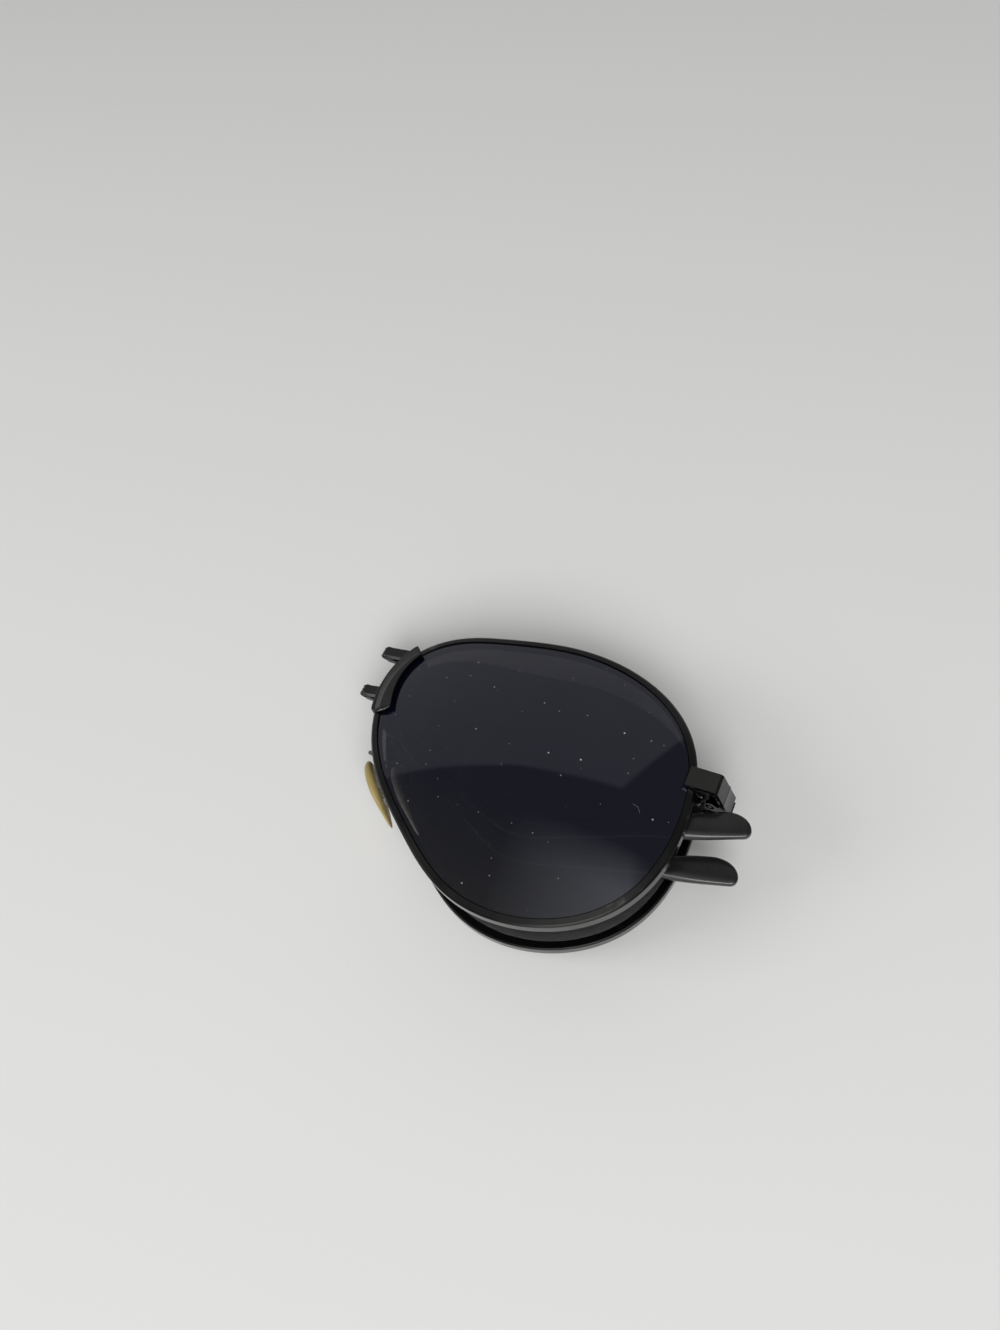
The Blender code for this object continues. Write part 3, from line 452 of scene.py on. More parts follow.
class Nodes:
    """A short way to add and link shader nodes."""

    def __init__(self, tree):
        self.tree = tree

    def add(self, kind, **settings):
        node = self.tree.nodes.new(kind)
        for key, value in settings.items():
            setattr(node, key, value)
        return node

    def link(self, output, target):
        self.tree.links.new(output, target)

    def noise(self, coordinates, scale, detail=3.0, roughness=0.5):
        node = self.add("ShaderNodeTexNoise")
        node.inputs["Scale"].default_value = scale
        node.inputs["Detail"].default_value = detail
        node.inputs["Roughness"].default_value = roughness
        self.link(coordinates, node.inputs["Vector"])
        return node.outputs["Fac"]

    def cells(self, coordinates, scale):
        """Flat cells, each with its own point and colour."""
        node = self.add("ShaderNodeTexVoronoi", voronoi_dimensions="2D")
        node.inputs["Scale"].default_value = scale
        self.link(coordinates, node.inputs["Vector"])
        return node

    def parts(self, value, kind):
        """The three parts of a colour or a vector."""
        node = self.add(kind)
        self.link(value, node.inputs[0])
        return list(node.outputs)[:3]

    def span(self, value, low, high, to_low, to_high):
        """A value's range stretched to another one, and held at its ends."""
        node = self.add("ShaderNodeMapRange")
        numbers = {"From Min": low, "From Max": high, "To Min": to_low, "To Max": to_high}
        for key, number in numbers.items():
            node.inputs[key].default_value = number
        self.link(value, node.inputs["Value"])
        return node.outputs["Result"]

    def ramp(self, value, *stops):
        node = self.add("ShaderNodeValToRGB")
        elements = node.color_ramp.elements
        while len(elements) < len(stops):
            elements.new(0.5)
        for element, (place, colour) in zip(elements, stops):
            element.position = place
            element.color = (*colour, 1.0)
        self.link(value, node.inputs["Fac"])
        return node.outputs["Color"]

    def math(self, operation, first, second=None):
        node = self.add("ShaderNodeMath", operation=operation)
        for socket, value in zip(node.inputs, (first, second)):
            if value is None:
                continue
            if isinstance(value, (int, float)):
                socket.default_value = value
            else:
                self.link(value, socket)
        return node.outputs[0]

    def mix(self, share, first, second):
        node = self.add("ShaderNodeMix", data_type="RGBA")
        sockets = (node.inputs["Factor"], node.inputs[6], node.inputs[7])
        for socket, value in zip(sockets, (share, first, second)):
            if isinstance(value, tuple):
                socket.default_value = (*value, 1.0)
            elif isinstance(value, (int, float)):
                socket.default_value = value
            else:
                self.link(value, socket)
        return node.outputs[2]


def new_material(name):
    material = bpy.data.materials.new(name)
    material.use_nodes = True
    tree = material.node_tree
    shader = tree.nodes["Principled BSDF"]
    kit = Nodes(tree)
    place = kit.add("ShaderNodeTexCoord").outputs["Object"]
    return material, shader, kit, place


def add_bump(kit, shader, height, distance_mm, strength):
    bump = kit.add("ShaderNodeBump")
    bump.inputs["Strength"].default_value = strength
    bump.inputs["Distance"].default_value = distance_mm * MM
    kit.link(height, bump.inputs["Height"])
    kit.link(bump.outputs["Normal"], shader.inputs["Normal"])


def gloss(kit, shader, noise, roughness):
    """Roughness that wanders between two values."""
    kit.link(kit.span(noise, 0.3, 0.7, roughness[0], roughness[1]), shader.inputs["Roughness"])


def metal(name, dark, light, roughness, grain_mm, wear=None):
    """Coated or bare metal: faintly cloudy in colour and gloss, with fine grain and perhaps worn edges."""
    material, shader, kit, place = new_material(name)
    cloud = kit.noise(place, 160.0, 2.0, 0.5)
    colour = kit.ramp(cloud, (0.3, dark), (0.7, light))
    if wear:
        pointed = kit.add("ShaderNodeNewGeometry").outputs["Pointiness"]
        rubbed = kit.span(kit.noise(place, 620.0, 3.0), 0.48, 0.68, 0.0, 1.0)
        share = kit.math("MULTIPLY", kit.span(pointed, 0.53, 0.60, 0.0, 0.5), rubbed)
        colour = kit.mix(share, colour, wear)
    kit.link(colour, shader.inputs["Base Color"])
    shader.inputs["Metallic"].default_value = 1.0
    gloss(kit, shader, kit.noise(place, 240.0, 3.0, 0.55), roughness)
    add_bump(kit, shader, kit.noise(place, 9000.0, 2.0), grain_mm, 0.5)
    return material


def plastic(name, dark, light, roughness, grain_mm):
    """Smooth dark plastic with faint smudges and a fine grain."""
    material, shader, kit, place = new_material(name)
    colour = kit.ramp(kit.noise(place, 300.0, 3.0), (0.3, dark), (0.7, light))
    kit.link(colour, shader.inputs["Base Color"])
    gloss(kit, shader, kit.noise(place, 700.0, 4.0, 0.65), roughness)
    add_bump(kit, shader, kit.noise(place, 7000.0, 2.0), grain_mm, 0.5)
    shader.inputs["Specular IOR Level"].default_value = 0.5
    return material


SILICONE_IOR = 1.41
SKIN_MM = 0.0015


def silicone(name, dark, light, transmission, roughness):
    """Translucent pad rubber: cloudy colour, soft gloss and fine skin marks."""
    material, shader, kit, place = new_material(name)
    cloud = kit.noise(place, 210.0, 2.0, 0.5)
    kit.link(kit.ramp(cloud, (0.3, dark), (0.7, light)), shader.inputs["Base Color"])
    shader.inputs["Transmission Weight"].default_value = transmission
    shader.inputs["IOR"].default_value = SILICONE_IOR
    gloss(kit, shader, kit.noise(place, 1100.0, 3.0), roughness)
    add_bump(kit, shader, kit.noise(place, 3600.0, 2.0), SKIN_MM, 0.4)
    return material


# Dust on the lens: each cell of a grid holds at most one speck, and each cell of a wider grid one hair.
# Cells are counted along a metre, specks are sized in shares of a cell, and hairs in metres
SPECK_CELLS = 215.0
SPECK_SMALLEST = 0.009
SPECK_LARGEST = 0.032
SPECK_EMPTY_CELLS = 0.30
SPECK_FAINTEST = 0.15
SPECK_BRIGHTEST = 0.85
HAIR_CELLS = 78.0
HAIR_EMPTY_CELLS = 0.82
HAIR_CURL = 0.42
HAIR_HALF_WIDTH = 0.000026
HAIR_HALF_LENGTH = 0.0009
HAIR_BRIGHTNESS = 0.3
FULL_TURN = 6.28
DUST_COLOUR = (0.62, 0.61, 0.58)
HAZE = 0.025

# The tint, from the lens's foot to its top; heights are in metres in the row frame
TINT_FROM = -0.024
TINT_TO = 0.016
TINT_FOOT = (0.010, 0.010, 0.011)
TINT_MIDDLE_AT = 0.45
TINT_MIDDLE = (0.003, 0.0035, 0.0095)
TINT_TOP = (0.002, 0.0022, 0.0085)

# The lens's gloss fades with its alpha, so a higher index of refraction makes up for it on the outer
# face; the inner face has an anti-glare coat
LENS_ALPHA_TOP = 0.93
LENS_ALPHA_BOTTOM = 0.74
LENS_ALPHA_INNER = 0.50
LENS_IOR = 1.68
LENS_IOR_INNER = 1.22
LENS_GLOSS_TINT = (0.88, 0.90, 1.0, 1.0)


def specks_and_hairs(kit, place):
    """A mask of white dust specks, some fainter than others, and a few short bent hairs."""
    cells = kit.cells(place, SPECK_CELLS)
    pick = kit.parts(cells.outputs["Color"], "ShaderNodeSeparateColor")
    size = kit.span(kit.math("MULTIPLY", pick[0], pick[0]), 0.0, 1.0, SPECK_SMALLEST, SPECK_LARGEST)
    speck = kit.math("GREATER_THAN", size, cells.outputs["Distance"])
    speck = kit.math("MULTIPLY", speck, kit.math("GREATER_THAN", pick[1], SPECK_EMPTY_CELLS))
    brightness = kit.span(pick[2], 0.0, 1.0, SPECK_FAINTEST, SPECK_BRIGHTEST)
    speck = kit.math("MULTIPLY", speck, brightness)
    wide = kit.cells(place, HAIR_CELLS)
    pick = kit.parts(wide.outputs["Color"], "ShaderNodeSeparateColor")
    local = kit.add("ShaderNodeVectorMath", operation="SUBTRACT")
    kit.link(place, local.inputs[0])
    kit.link(wide.outputs["Position"], local.inputs[1])
    turned_by = kit.add("ShaderNodeVectorRotate", rotation_type="Z_AXIS")
    kit.link(local.outputs[0], turned_by.inputs["Vector"])
    kit.link(kit.math("MULTIPLY", pick[0], FULL_TURN), turned_by.inputs["Angle"])
    along, across, _ = kit.parts(turned_by.outputs[0], "ShaderNodeSeparateXYZ")
    from_middle = kit.math("ABSOLUTE", along)
    curl = kit.math("MULTIPLY", from_middle, HAIR_CURL)
    off_line = kit.math("ABSOLUTE", kit.math("SUBTRACT", across, curl))
    hair = kit.math("MULTIPLY", kit.math("LESS_THAN", off_line, HAIR_HALF_WIDTH),
                    kit.math("LESS_THAN", from_middle, HAIR_HALF_LENGTH))
    hair = kit.math("MULTIPLY", hair, kit.math("GREATER_THAN", pick[1], HAIR_EMPTY_CELLS))
    return kit.math("MAXIMUM", speck, kit.math("MULTIPLY", hair, HAIR_BRIGHTNESS))


def tinted_lens(name, dusty):
    """A graded tint, dark navy at the top and clearer grey below; dust lies on the outer face."""
    material, shader, kit, place = new_material(name)
    height = kit.span(kit.parts(place, "ShaderNodeSeparateXYZ")[1], TINT_FROM, TINT_TO, 0.0, 1.0)
    tint = kit.ramp(height, (0.0, TINT_FOOT), (TINT_MIDDLE_AT, TINT_MIDDLE), (1.0, TINT_TOP))
    rough = kit.span(kit.noise(place, 130.0, 4.0, 0.6), 0.35, 0.7, 0.02, 0.06)
    shader.inputs["Alpha"].default_value = LENS_ALPHA_INNER
    if dusty:
        dust = specks_and_hairs(kit, place)
        grains = kit.span(kit.noise(place, 5200.0, 4.0, 0.7), 0.5, 0.75, 0.0, HAZE)
        patches = kit.span(kit.noise(place, 90.0, 3.0), 0.48, 0.7, 0.0, 1.0)
        dust = kit.math("MAXIMUM", dust, kit.math("MULTIPLY", grains, patches))
        tint = kit.mix(dust, tint, DUST_COLOUR)
        rough = kit.math("MAXIMUM", rough, kit.math("MULTIPLY", dust, 0.6))
        tinted = kit.span(height, 0.0, 1.0, LENS_ALPHA_BOTTOM, LENS_ALPHA_TOP)
        opacity = kit.math("MAXIMUM", tinted, dust)
        kit.link(opacity, shader.inputs["Alpha"])
    kit.link(tint, shader.inputs["Base Color"])
    kit.link(rough, shader.inputs["Roughness"])
    shader.inputs["Specular Tint"].default_value = LENS_GLOSS_TINT
    shader.inputs["IOR"].default_value = LENS_IOR if dusty else LENS_IOR_INNER
    return material


BLACK_METAL = metal("black_metal", (0.034, 0.034, 0.0335), (0.043, 0.043, 0.042), (0.27, 0.34), 0.0012,
                    wear=(0.16, 0.155, 0.145))
# A lighter metal painted on the rim's outer front bevel as a highlight line
PAINTED_EDGE_HIGHLIGHT = metal("rim_edge_painted_highlight", (0.060, 0.060, 0.058), (0.095, 0.095, 0.092), (0.16, 0.22), 0.0008)
# A lighter copy of the black metal, painted on the end piece's face as a painted reflection
LIT_PLATE_METAL = metal("plate_metal_painted_sheen", (0.058, 0.058, 0.056), (0.072, 0.072, 0.070), (0.16, 0.22), 0.0006)
GLOSS_METAL = metal("gloss_black_metal", (0.050, 0.050, 0.051), (0.061, 0.061, 0.061), (0.15, 0.21),
                    0.0006)
STRIP_METAL = metal("strip_metal", (0.040, 0.040, 0.041), (0.055, 0.055, 0.055), (0.28, 0.36), 0.0015)
# A near-white metal painted on the temple strips' rounded edges as highlight lines
STRIP_PAINTED_HIGHLIGHT = metal("strip_edge_painted_highlight", (0.50, 0.50, 0.49), (0.68, 0.68, 0.66), (0.20, 0.30), 0.0010)
ARM_METAL = metal("arm_metal", (0.060, 0.058, 0.054), (0.090, 0.087, 0.080), (0.24, 0.34), 0.0012)
# Near-black painted on the rim's lip as shade, where the rim meets the lens
SHADOW_BLACK = metal("rim_lip_painted_shade", (0.003, 0.003, 0.003), (0.005, 0.005, 0.005), (0.4, 0.5),
                     0.001)
DARK_STEEL = metal("dark_steel", (0.030, 0.030, 0.031), (0.044, 0.044, 0.045), (0.18, 0.26), 0.0015)
PLATED_STEEL = metal("plated_steel", (0.54, 0.52, 0.47), (0.66, 0.64, 0.58), (0.16, 0.26), 0.0015)
TIP_PLASTIC = plastic("tip_plastic", (0.010, 0.010, 0.0098), (0.015, 0.015, 0.0145), (0.20, 0.28),
                      0.0015)
# A lighter plastic painted along the tip's near edge as a highlight
TIP_PAINTED_HIGHLIGHT = plastic("tip_edge_painted_highlight", (0.020, 0.020, 0.0195), (0.034, 0.034, 0.033), (0.18, 0.26), 0.0012)
AMBER = silicone("amber_silicone", (0.46, 0.35, 0.13), (0.55, 0.43, 0.17), 0.30, (0.18, 0.26))
CLEAR_PAD = silicone("clear_silicone", (0.86, 0.79, 0.67), (0.94, 0.88, 0.77), 0.12, (0.16, 0.26))
SMOKE = tinted_lens("smoke_lens", False)
SMOKE_FRONT = tinted_lens("smoke_lens_outer", True)


# Rims and lenses

# The rim's section as (offset, depth, corner radius); its lip is painted near-black as shade, and its
# outer front edge is painted lighter as a highlight line
RIM_SECTION = rounded((
    (RIM_FACE_TO, 0.0, 0.05), (RIM_OUTER, RIM_BEVEL_DEPTH, 0.08),
    (RIM_OUTER, RIM_DEPTH - 0.25, 0.08), (0.55, RIM_DEPTH, 0.06),
    (-GROOVE_DEPTH, RIM_DEPTH, 0.06), (-GROOVE_DEPTH, 2.12, 0.0),
    (0.0, 1.68, 0.0), (0.0, 0.67, 0.0),
    (RIM_LIP, RIM_LIP_DEPTH, 0.0), (RIM_FACE_FROM, 0.0, 0.05),
), 4)
# The lip's sides, painted near-black as shade, and the outer bevel's sides, painted lighter as a highlight
# line
SHADOWED = [side for side, (u, w) in enumerate(RIM_SECTION) if abs(u - RIM_LIP) < 0.01]
HIGHLIGHTED_SIDES = [side for side, (u, w) in enumerate(RIM_SECTION)
          if u > RIM_OUTER - 0.06 and RIM_BEVEL_DEPTH - 0.08 < w < RIM_BEVEL_DEPTH + 0.07]


def lens_slope(angle):
    """How far the lens falls back for each millimetre outwards, at its edge."""
    reach = (groove_point(angle) - LENS_CENTRE).length
    return math.tan(math.asin(reach / LENS_CURVE_RADIUS))


def rim_ring(angle):
    """The rim's section: upright outside, and sloping inwards with the lens."""
    slope = lens_slope(angle)
    points = []
    for offset, depth in RIM_SECTION:
        point = outline(angle, offset)
        point.z = rim_front(angle) + depth + min(offset, SLOPED_TO) * slope
        points.append(point)
    return points


def box_shell(low, high, radius, steps=3):
    """A block between two corners, its four edges along y rounded and its y ends chamfered."""
    (x0, y0, z0), (x1, y1, z1) = low, high
    chamfer = radius * 0.6
    rings = []
    for y, inset in ((y0, chamfer), (y0 + chamfer, 0.0), (y1 - chamfer, 0.0), (y1, chamfer)):
        corners = ((x0 + inset, z0 + inset, radius), (x1 - inset, z0 + inset, radius),
                   (x1 - inset, z1 - inset, radius), (x0 + inset, z1 - inset, radius))
        rings.append([(u, y, w) for u, w in rounded(corners, steps)])
    return loft(rings)


def build_rim(half):
    """The split rim and its two lugs."""
    half_gap = RIM_SPLIT / 2 / (LENS_WIDTH / 2)
    start = END_ANGLE + half_gap
    sweep = 2 * math.pi - 2 * half_gap
    steps = 256
    ring = loft([rim_ring(start + sweep * step / steps) for step in range(steps + 1)])
    root = RIM_EDGE_X - RIM_WIDTH / 2
    top = END_PIECE_Y + END_PIECE_HEIGHT / 2
    bottom = END_PIECE_Y - END_PIECE_HEIGHT / 2
    lug_end = RIM_EDGE_X + LUG_WIDTH
    lug_back = LUG_FRONT + LUG_DEPTH
    heights = ((END_PIECE_Y + RIM_SPLIT / 2, top), (bottom, END_PIECE_Y - RIM_SPLIT / 2))
    lugs = [box_shell((root, low, LUG_FRONT), (lug_end, high, lug_back), LUG_ROUND)
            for low, high in heights]
    rim = make(half.name + "_rim_formed", join(ring, *lugs), half.to_row, half.body(), BLACK_METAL,
               half.node("rim"), 30.0)
    count = len(RIM_SECTION)
    # Paint the lip near-black as shade and the outer bevel lighter as a highlight line
    for sides, painted_light_and_shade in ((SHADOWED, SHADOW_BLACK), (HIGHLIGHTED_SIDES, PAINTED_EDGE_HIGHLIGHT)):
        paint(rim, [step * count + side for step in range(steps) for side in sides], painted_light_and_shade)


def build_lens(half):
    """Two spherical faces that meet in a bevel inside the rim's groove."""
    sides = 160
    layers = 14
    shares = [math.sin(math.pi / 2 * step / layers) for step in range(1, layers + 1)]
    angles = [2 * math.pi * side / sides for side in range(sides)]
    rims = [outline(angle, -LENS_FACE_EDGE) for angle in angles]

    def face_ring(share, back):
        points = []
        for edge in rims:
            point = LENS_CENTRE.lerp(edge, share)
            point.z = sag(point) + back
            points.append(point)
        return points

    bevel = []
    for level in (-LENS_EDGE_HALF, LENS_EDGE_HALF):
        ring = [outline(angle, -CLEAR) for angle in angles]
        for point in ring:
            point.z = sag(point) + LENS_THICKNESS / 2 + level
        bevel.append(ring)
    rings = [face_ring(share, 0.0) for share in shares] + bevel
    rings += [face_ring(share, LENS_THICKNESS) for share in reversed(shares)]
    vertices, faces = loft(rings)
    faces = faces[:-2]
    count = len(vertices)
    vertices += [LENS_CENTRE.copy(), LENS_CENTRE + Vector((0, 0, LENS_THICKNESS))]
    last = (len(rings) - 1) * sides
    for side in range(sides):
        after = (side + 1) % sides
        faces.append((count, after, side))
        faces.append((count + 1, last + side, last + after))
    lens = make(half.name + "_lens_curved", (vertices, faces), half.to_row, half.body(), SMOKE,
                half.node("lens"), 25.0)
    front = [index for index, face in enumerate(faces)
             if all(vertices[corner].z < sag(vertices[corner]) + 0.01 for corner in face)]
    paint(lens, front, SMOKE_FRONT)


# Bridge brackets

def ease(share):
    """A soft step from 0 to 1."""
    share = min(max(share, 0.0), 1.0)
    return share * share * (3 - 2 * share)


def ribbon(angle_low, angle_high, steps, section_at):
    """A band along the rim; section_at(angle, share along, mm from the nearer end) gives its points."""
    rings = []
    path = [math.radians(angle_low + (angle_high - angle_low) * step / steps)
            for step in range(steps + 1)]
    lengths = [0.0]
    for before, after in zip(path, path[1:]):
        lengths.append(lengths[-1] + (outline(after, 1.0) - outline(before, 1.0)).length)
    for angle, travel in zip(path, lengths):
        near_end = min(travel, lengths[-1] - travel)
        ring = []
        for offset, depth in section_at(angle, travel / lengths[-1], near_end):
            point = outline(angle, offset)
            point.z = depth
            ring.append(point)
        rings.append(ring)
    return loft(rings)


def end_round(near_end, radius):
    """Share of the full width at a distance from a band's round end."""
    if near_end >= radius:
        return 1.0
    return max(math.sqrt(1 - (1 - near_end / radius) ** 2), 0.1)


def build_bracket(half):
    """A wall beside the rim, and a flange in one with it that laps over the rim and the lens's edge."""
    inner = RIM_OUTER + CLEAR
    outer = inner + BRACKET_WIDTH

    def wall(angle, share, near_end):
        front = rim_front(angle) - WALL_OVER_FRONT + WALL_FALL * share
        close = end_round(near_end, WALL_END_ROUND)
        middle = (inner + outer) / 2
        wide = BRACKET_WIDTH / 2 * (0.5 + 0.5 * close)
        back = BRACKET_BACK - WALL_BACK_ROUND * (1 - close)
        return rounded(((middle - wide, front, 0.1), (middle + wide, front, 0.2),
                        (middle + wide, back, 0.3), (middle - wide, back, 0.2)), 4)

    def flange(angle, share, near_end):
        slope = lens_slope(angle)
        reach = FLANGE_REACH_TOP + (FLANGE_REACH_FOOT - FLANGE_REACH_TOP) * share
        close = end_round(near_end, FLANGE_END_ROUND)
        turn_in = (FLANGE_RIDGE + reach) / 2
        low = -turn_in - (reach - turn_in) * close
        ridge = -turn_in + (turn_in - FLANGE_RIDGE) * close
        high = (outer - FLANGE_WITHIN_WALL) * (1 - share) + FLANGE_EDGE_FOOT * share
        under = rim_front(angle) - FLANGE_LIFT
        thick = BRACKET_PROUD * (0.6 + 0.4 * close)
        outer_top = under - FLANGE_OUTER_THICKNESS
        section = rounded(((low, under - thick + 0.08, 0.2), (ridge, under - thick, 0.12),
                           (high, outer_top, 0.1), (high, under, 0.05), (low, under, 0.08)), 4)
        return [(u, w + min(u, SLOPED_TO) * slope) for u, w in section]

    wall_shell = ribbon(BRACKET_FROM_DEG, BRACKET_TO_DEG, 48, wall)
    flange_shell = ribbon(FLANGE_FROM_DEG, FLANGE_TO_DEG, 96, flange)
    make(half.name + "_bracket_formed", join(wall_shell, flange_shell), half.to_row, half.body(),
         GLOSS_METAL, half.node("bridge_bracket"))


# Turned pieces

# Domed heads as (share of the height, share of the radius), from the top down
SCREW_DOME = ((0.0, 0.55), (0.06, 0.75), (0.2, 0.91), (0.45, 1.0), (0.85, 1.0), (1.0, 0.93))
RIVET_DOME = ((0.0, 0.12), (0.03, 0.3), (0.12, 0.52), (0.3, 0.74), (0.55, 0.9), (0.8, 0.99),
              (0.92, 1.0), (1.0, 0.95))
SLOT_HALF_SHARE = 0.16
SLOT_DEPTH_SHARE = 0.5
TURNED_SIDES = 40


def turned(start, end, profile):
    """A turned shell; its profile is (share of the way from start to end, radius)."""
    start, end = Vector(start), Vector(end)
    along = (end - start).normalized()
    across = along.orthogonal().normalized()
    up = along.cross(across)
    rings = []
    for share, radius in profile:
        rings.append(circle(start.lerp(end, share), radius, across, up, TURNED_SIDES))
    return loft(rings)


def slotted(head_start, shank_end, shank_radius, head_radius, head_height):
    """A screw from its head's top to its shank's end, and the block that cuts the slot in its head."""
    head_start, shank_end = Vector(head_start), Vector(shank_end)
    total = (shank_end - head_start).length
    along = (shank_end - head_start) / total
    across = along.orthogonal().normalized()
    up = along.cross(across)
    slot_half = head_radius * SLOT_HALF_SHARE
    slot_deep = head_height * SLOT_DEPTH_SHARE
    levels = [(share * head_height, radius * head_radius) for share, radius in SCREW_DOME]
    levels += [(head_height, shank_radius), (total - 0.1, shank_radius), (total, shank_radius * 0.8)]
    body = loft([circle(head_start + depth * along, radius, across, up, TURNED_SIDES)
                 for depth, radius in levels])
    above = head_start - 0.05 * along
    slot_floor = head_start + slot_deep * along
    reach = head_radius * 1.2
    corners = ((-1, -1), (1, -1), (1, 1), (-1, 1))
    tool = [[centre + a * reach * up + b * slot_half * across for a, b in corners]
            for centre in (above, slot_floor)]
    return body, loft(tool)


def carved(body, tool):
    """The first shell less the second."""
    pieces = []
    for vertices, faces in (body, tool):
        pieces.append(add_object("carving", mesh_of("carving", vertices, faces)))
    modifier = pieces[0].modifiers.new("cut", "BOOLEAN")
    modifier.operation = "DIFFERENCE"
    modifier.solver = "EXACT"
    modifier.object = pieces[1]
    graph = bpy.context.evaluated_depsgraph_get()
    mesh = bpy.data.meshes.new_from_object(pieces[0].evaluated_get(graph))
    shell = ([v.co.copy() for v in mesh.vertices], [tuple(p.vertices) for p in mesh.polygons])
    for piece in pieces:
        bpy.data.objects.remove(piece, do_unlink=True)
    return shell


def build_screws(half):
    """The screw that closes the rim's split, and the one that pins the temple's hinge."""
    reach = END_PIECE_HEIGHT / 2
    low = (RIM_SCREW_X, END_PIECE_Y - reach - CLEAR - SCREW_HEAD_HEIGHT, RIM_SCREW_DEPTH)
    high = (RIM_SCREW_X, END_PIECE_Y + reach, RIM_SCREW_DEPTH)
    shell = carved(*slotted(low, high, RIM_SCREW_RADIUS, SCREW_HEAD_RADIUS, SCREW_HEAD_HEIGHT))
    make(half.name + "_rim_screw_slotted", shell, half.to_row, half.body(), DARK_STEEL,
         half.node("rim_screw"))
    reach = HINGE_HEIGHT / 2
    low = (HINGE_X, HINGE_Y - reach, HINGE_DEPTH)
    high = (HINGE_X, HINGE_Y + reach + CLEAR + SCREW_HEAD_HEIGHT, HINGE_DEPTH)
    shell = carved(*slotted(high, low, RIM_SCREW_RADIUS, SCREW_HEAD_RADIUS, SCREW_HEAD_HEIGHT))
    make(half.name + "_hinge_screw_slotted", shell, half.to_row, half.body(), DARK_STEEL,
         half.node("hinge_screw"))


def build_rivet(half):
    """The rivet that the temple folds about, with a domed head towards the lens."""
    total = STRIP_BACK - RIVET_TOP
    head = RIVET_HEAD_HEIGHT / total
    profile = [(head * share, RIVET_HEAD_RADIUS * spread) for share, spread in RIVET_DOME]
    profile += [(head + 0.002, RIVET_RADIUS), (0.985, RIVET_RADIUS), (1, RIVET_RADIUS * 0.9)]
    shell = turned((PIVOT_X, PIVOT_Y, RIVET_TOP), (PIVOT_X, PIVOT_Y, STRIP_BACK), profile)
    make(half.name + "_rivet_domed", shell, half.to_row, half.body("temple_front"), DARK_STEEL,
         half.node("mid_rivet"))


# Tips

TANGENT = BEND_RADIUS * math.tan(BEND / 2)
BEND_START = SHAFT_LENGTH - TANGENT
BEND_LENGTH = BEND_RADIUS * BEND
REAR_LENGTH = BEND_START + BEND_LENGTH + TIP_LENGTH - TANGENT


def rear_place(half, travel):
    """Point and heading on the rear half's centre line, as in the CAD."""
    heading = half.rear_heading
    point = Vector((PIVOT_X, PIVOT_Y, REAR_MIDDLE))
    straight = min(travel, BEND_START)
    point += straight * Vector((math.cos(heading), math.sin(heading), 0))
    if travel > BEND_START:
        turned_to = heading + min((travel - BEND_START) / BEND_RADIUS, BEND)
        point.x += BEND_RADIUS * (math.sin(turned_to) - math.sin(heading))
        point.y += BEND_RADIUS * (math.cos(heading) - math.cos(turned_to))
        heading = turned_to
        beyond = max(travel - BEND_START - BEND_LENGTH, 0)
        point += beyond * Vector((math.cos(heading), math.sin(heading), 0))
    point.z += REAR_RISE * max(travel - REAR_RISE_START, 0) / (REAR_LENGTH - REAR_RISE_START)
    return point, heading


def quarter_round(to_end, radius):
    """Share of an edge's offset that is left at a distance from a round end."""
    if to_end >= radius:
        return 1.0
    return math.sqrt(max(1 - (1 - to_end / radius) ** 2, 0))


def tip_size(travel):
    """Near and far edge, measured across from the centre line, and thickness."""
    spread = ease((travel - TIP_FLARE_START) / (TIP_FLARE_END - TIP_FLARE_START))
    near = TIP_NECK_WIDTH / 2 + (TIP_NEAR - TIP_NECK_WIDTH / 2) * spread
    far = TIP_NECK_WIDTH / 2 + (TIP_FAR - TIP_NECK_WIDTH / 2) * spread
    thinned = ease((travel - TIP_THIN_START) / (REAR_LENGTH - TIP_THIN_START))
    thickness = TIP_THICKNESS - (TIP_THICKNESS - TIP_END_THICKNESS) * thinned
    to_end = REAR_LENGTH - travel
    near = -(-TIP_END_ACROSS + (near + TIP_END_ACROSS) * quarter_round(to_end, TIP_NEAR_ROUND))
    far = TIP_END_ACROSS + (far - TIP_END_ACROSS) * quarter_round(to_end, TIP_FAR_ROUND)
    thickness *= max(quarter_round(to_end, TIP_FACE_ROUND) ** 0.6, 0.14)
    from_start = travel - SLEEVE_START
    if from_start < TIP_MOUTH:
        lead = quarter_round(from_start, TIP_MOUTH)
        near, far = (edge_at * (0.86 + 0.14 * lead) for edge_at in (near, far))
        thickness *= 0.8 + 0.2 * lead
    return near, far, thickness


def tip_stations():
    """Where the tip's rings lie along the rear half: close together at both ends."""
    along = 60
    at_end = 9
    end_length = TIP_PADDLE_WIDTH / 2
    last = REAR_LENGTH - end_length
    stations = [SLEEVE_START + TIP_MOUTH * share for share in (0.0, 0.08, 0.25, 0.55)]
    stations += [SLEEVE_START + TIP_MOUTH + (last - SLEEVE_START - TIP_MOUTH) * step / along
                 for step in range(along + 1)]
    stations += [REAR_LENGTH - end_length * (1 - math.sin(math.pi / 2 * step / at_end))
                 for step in range(1, at_end + 1)]
    return stations


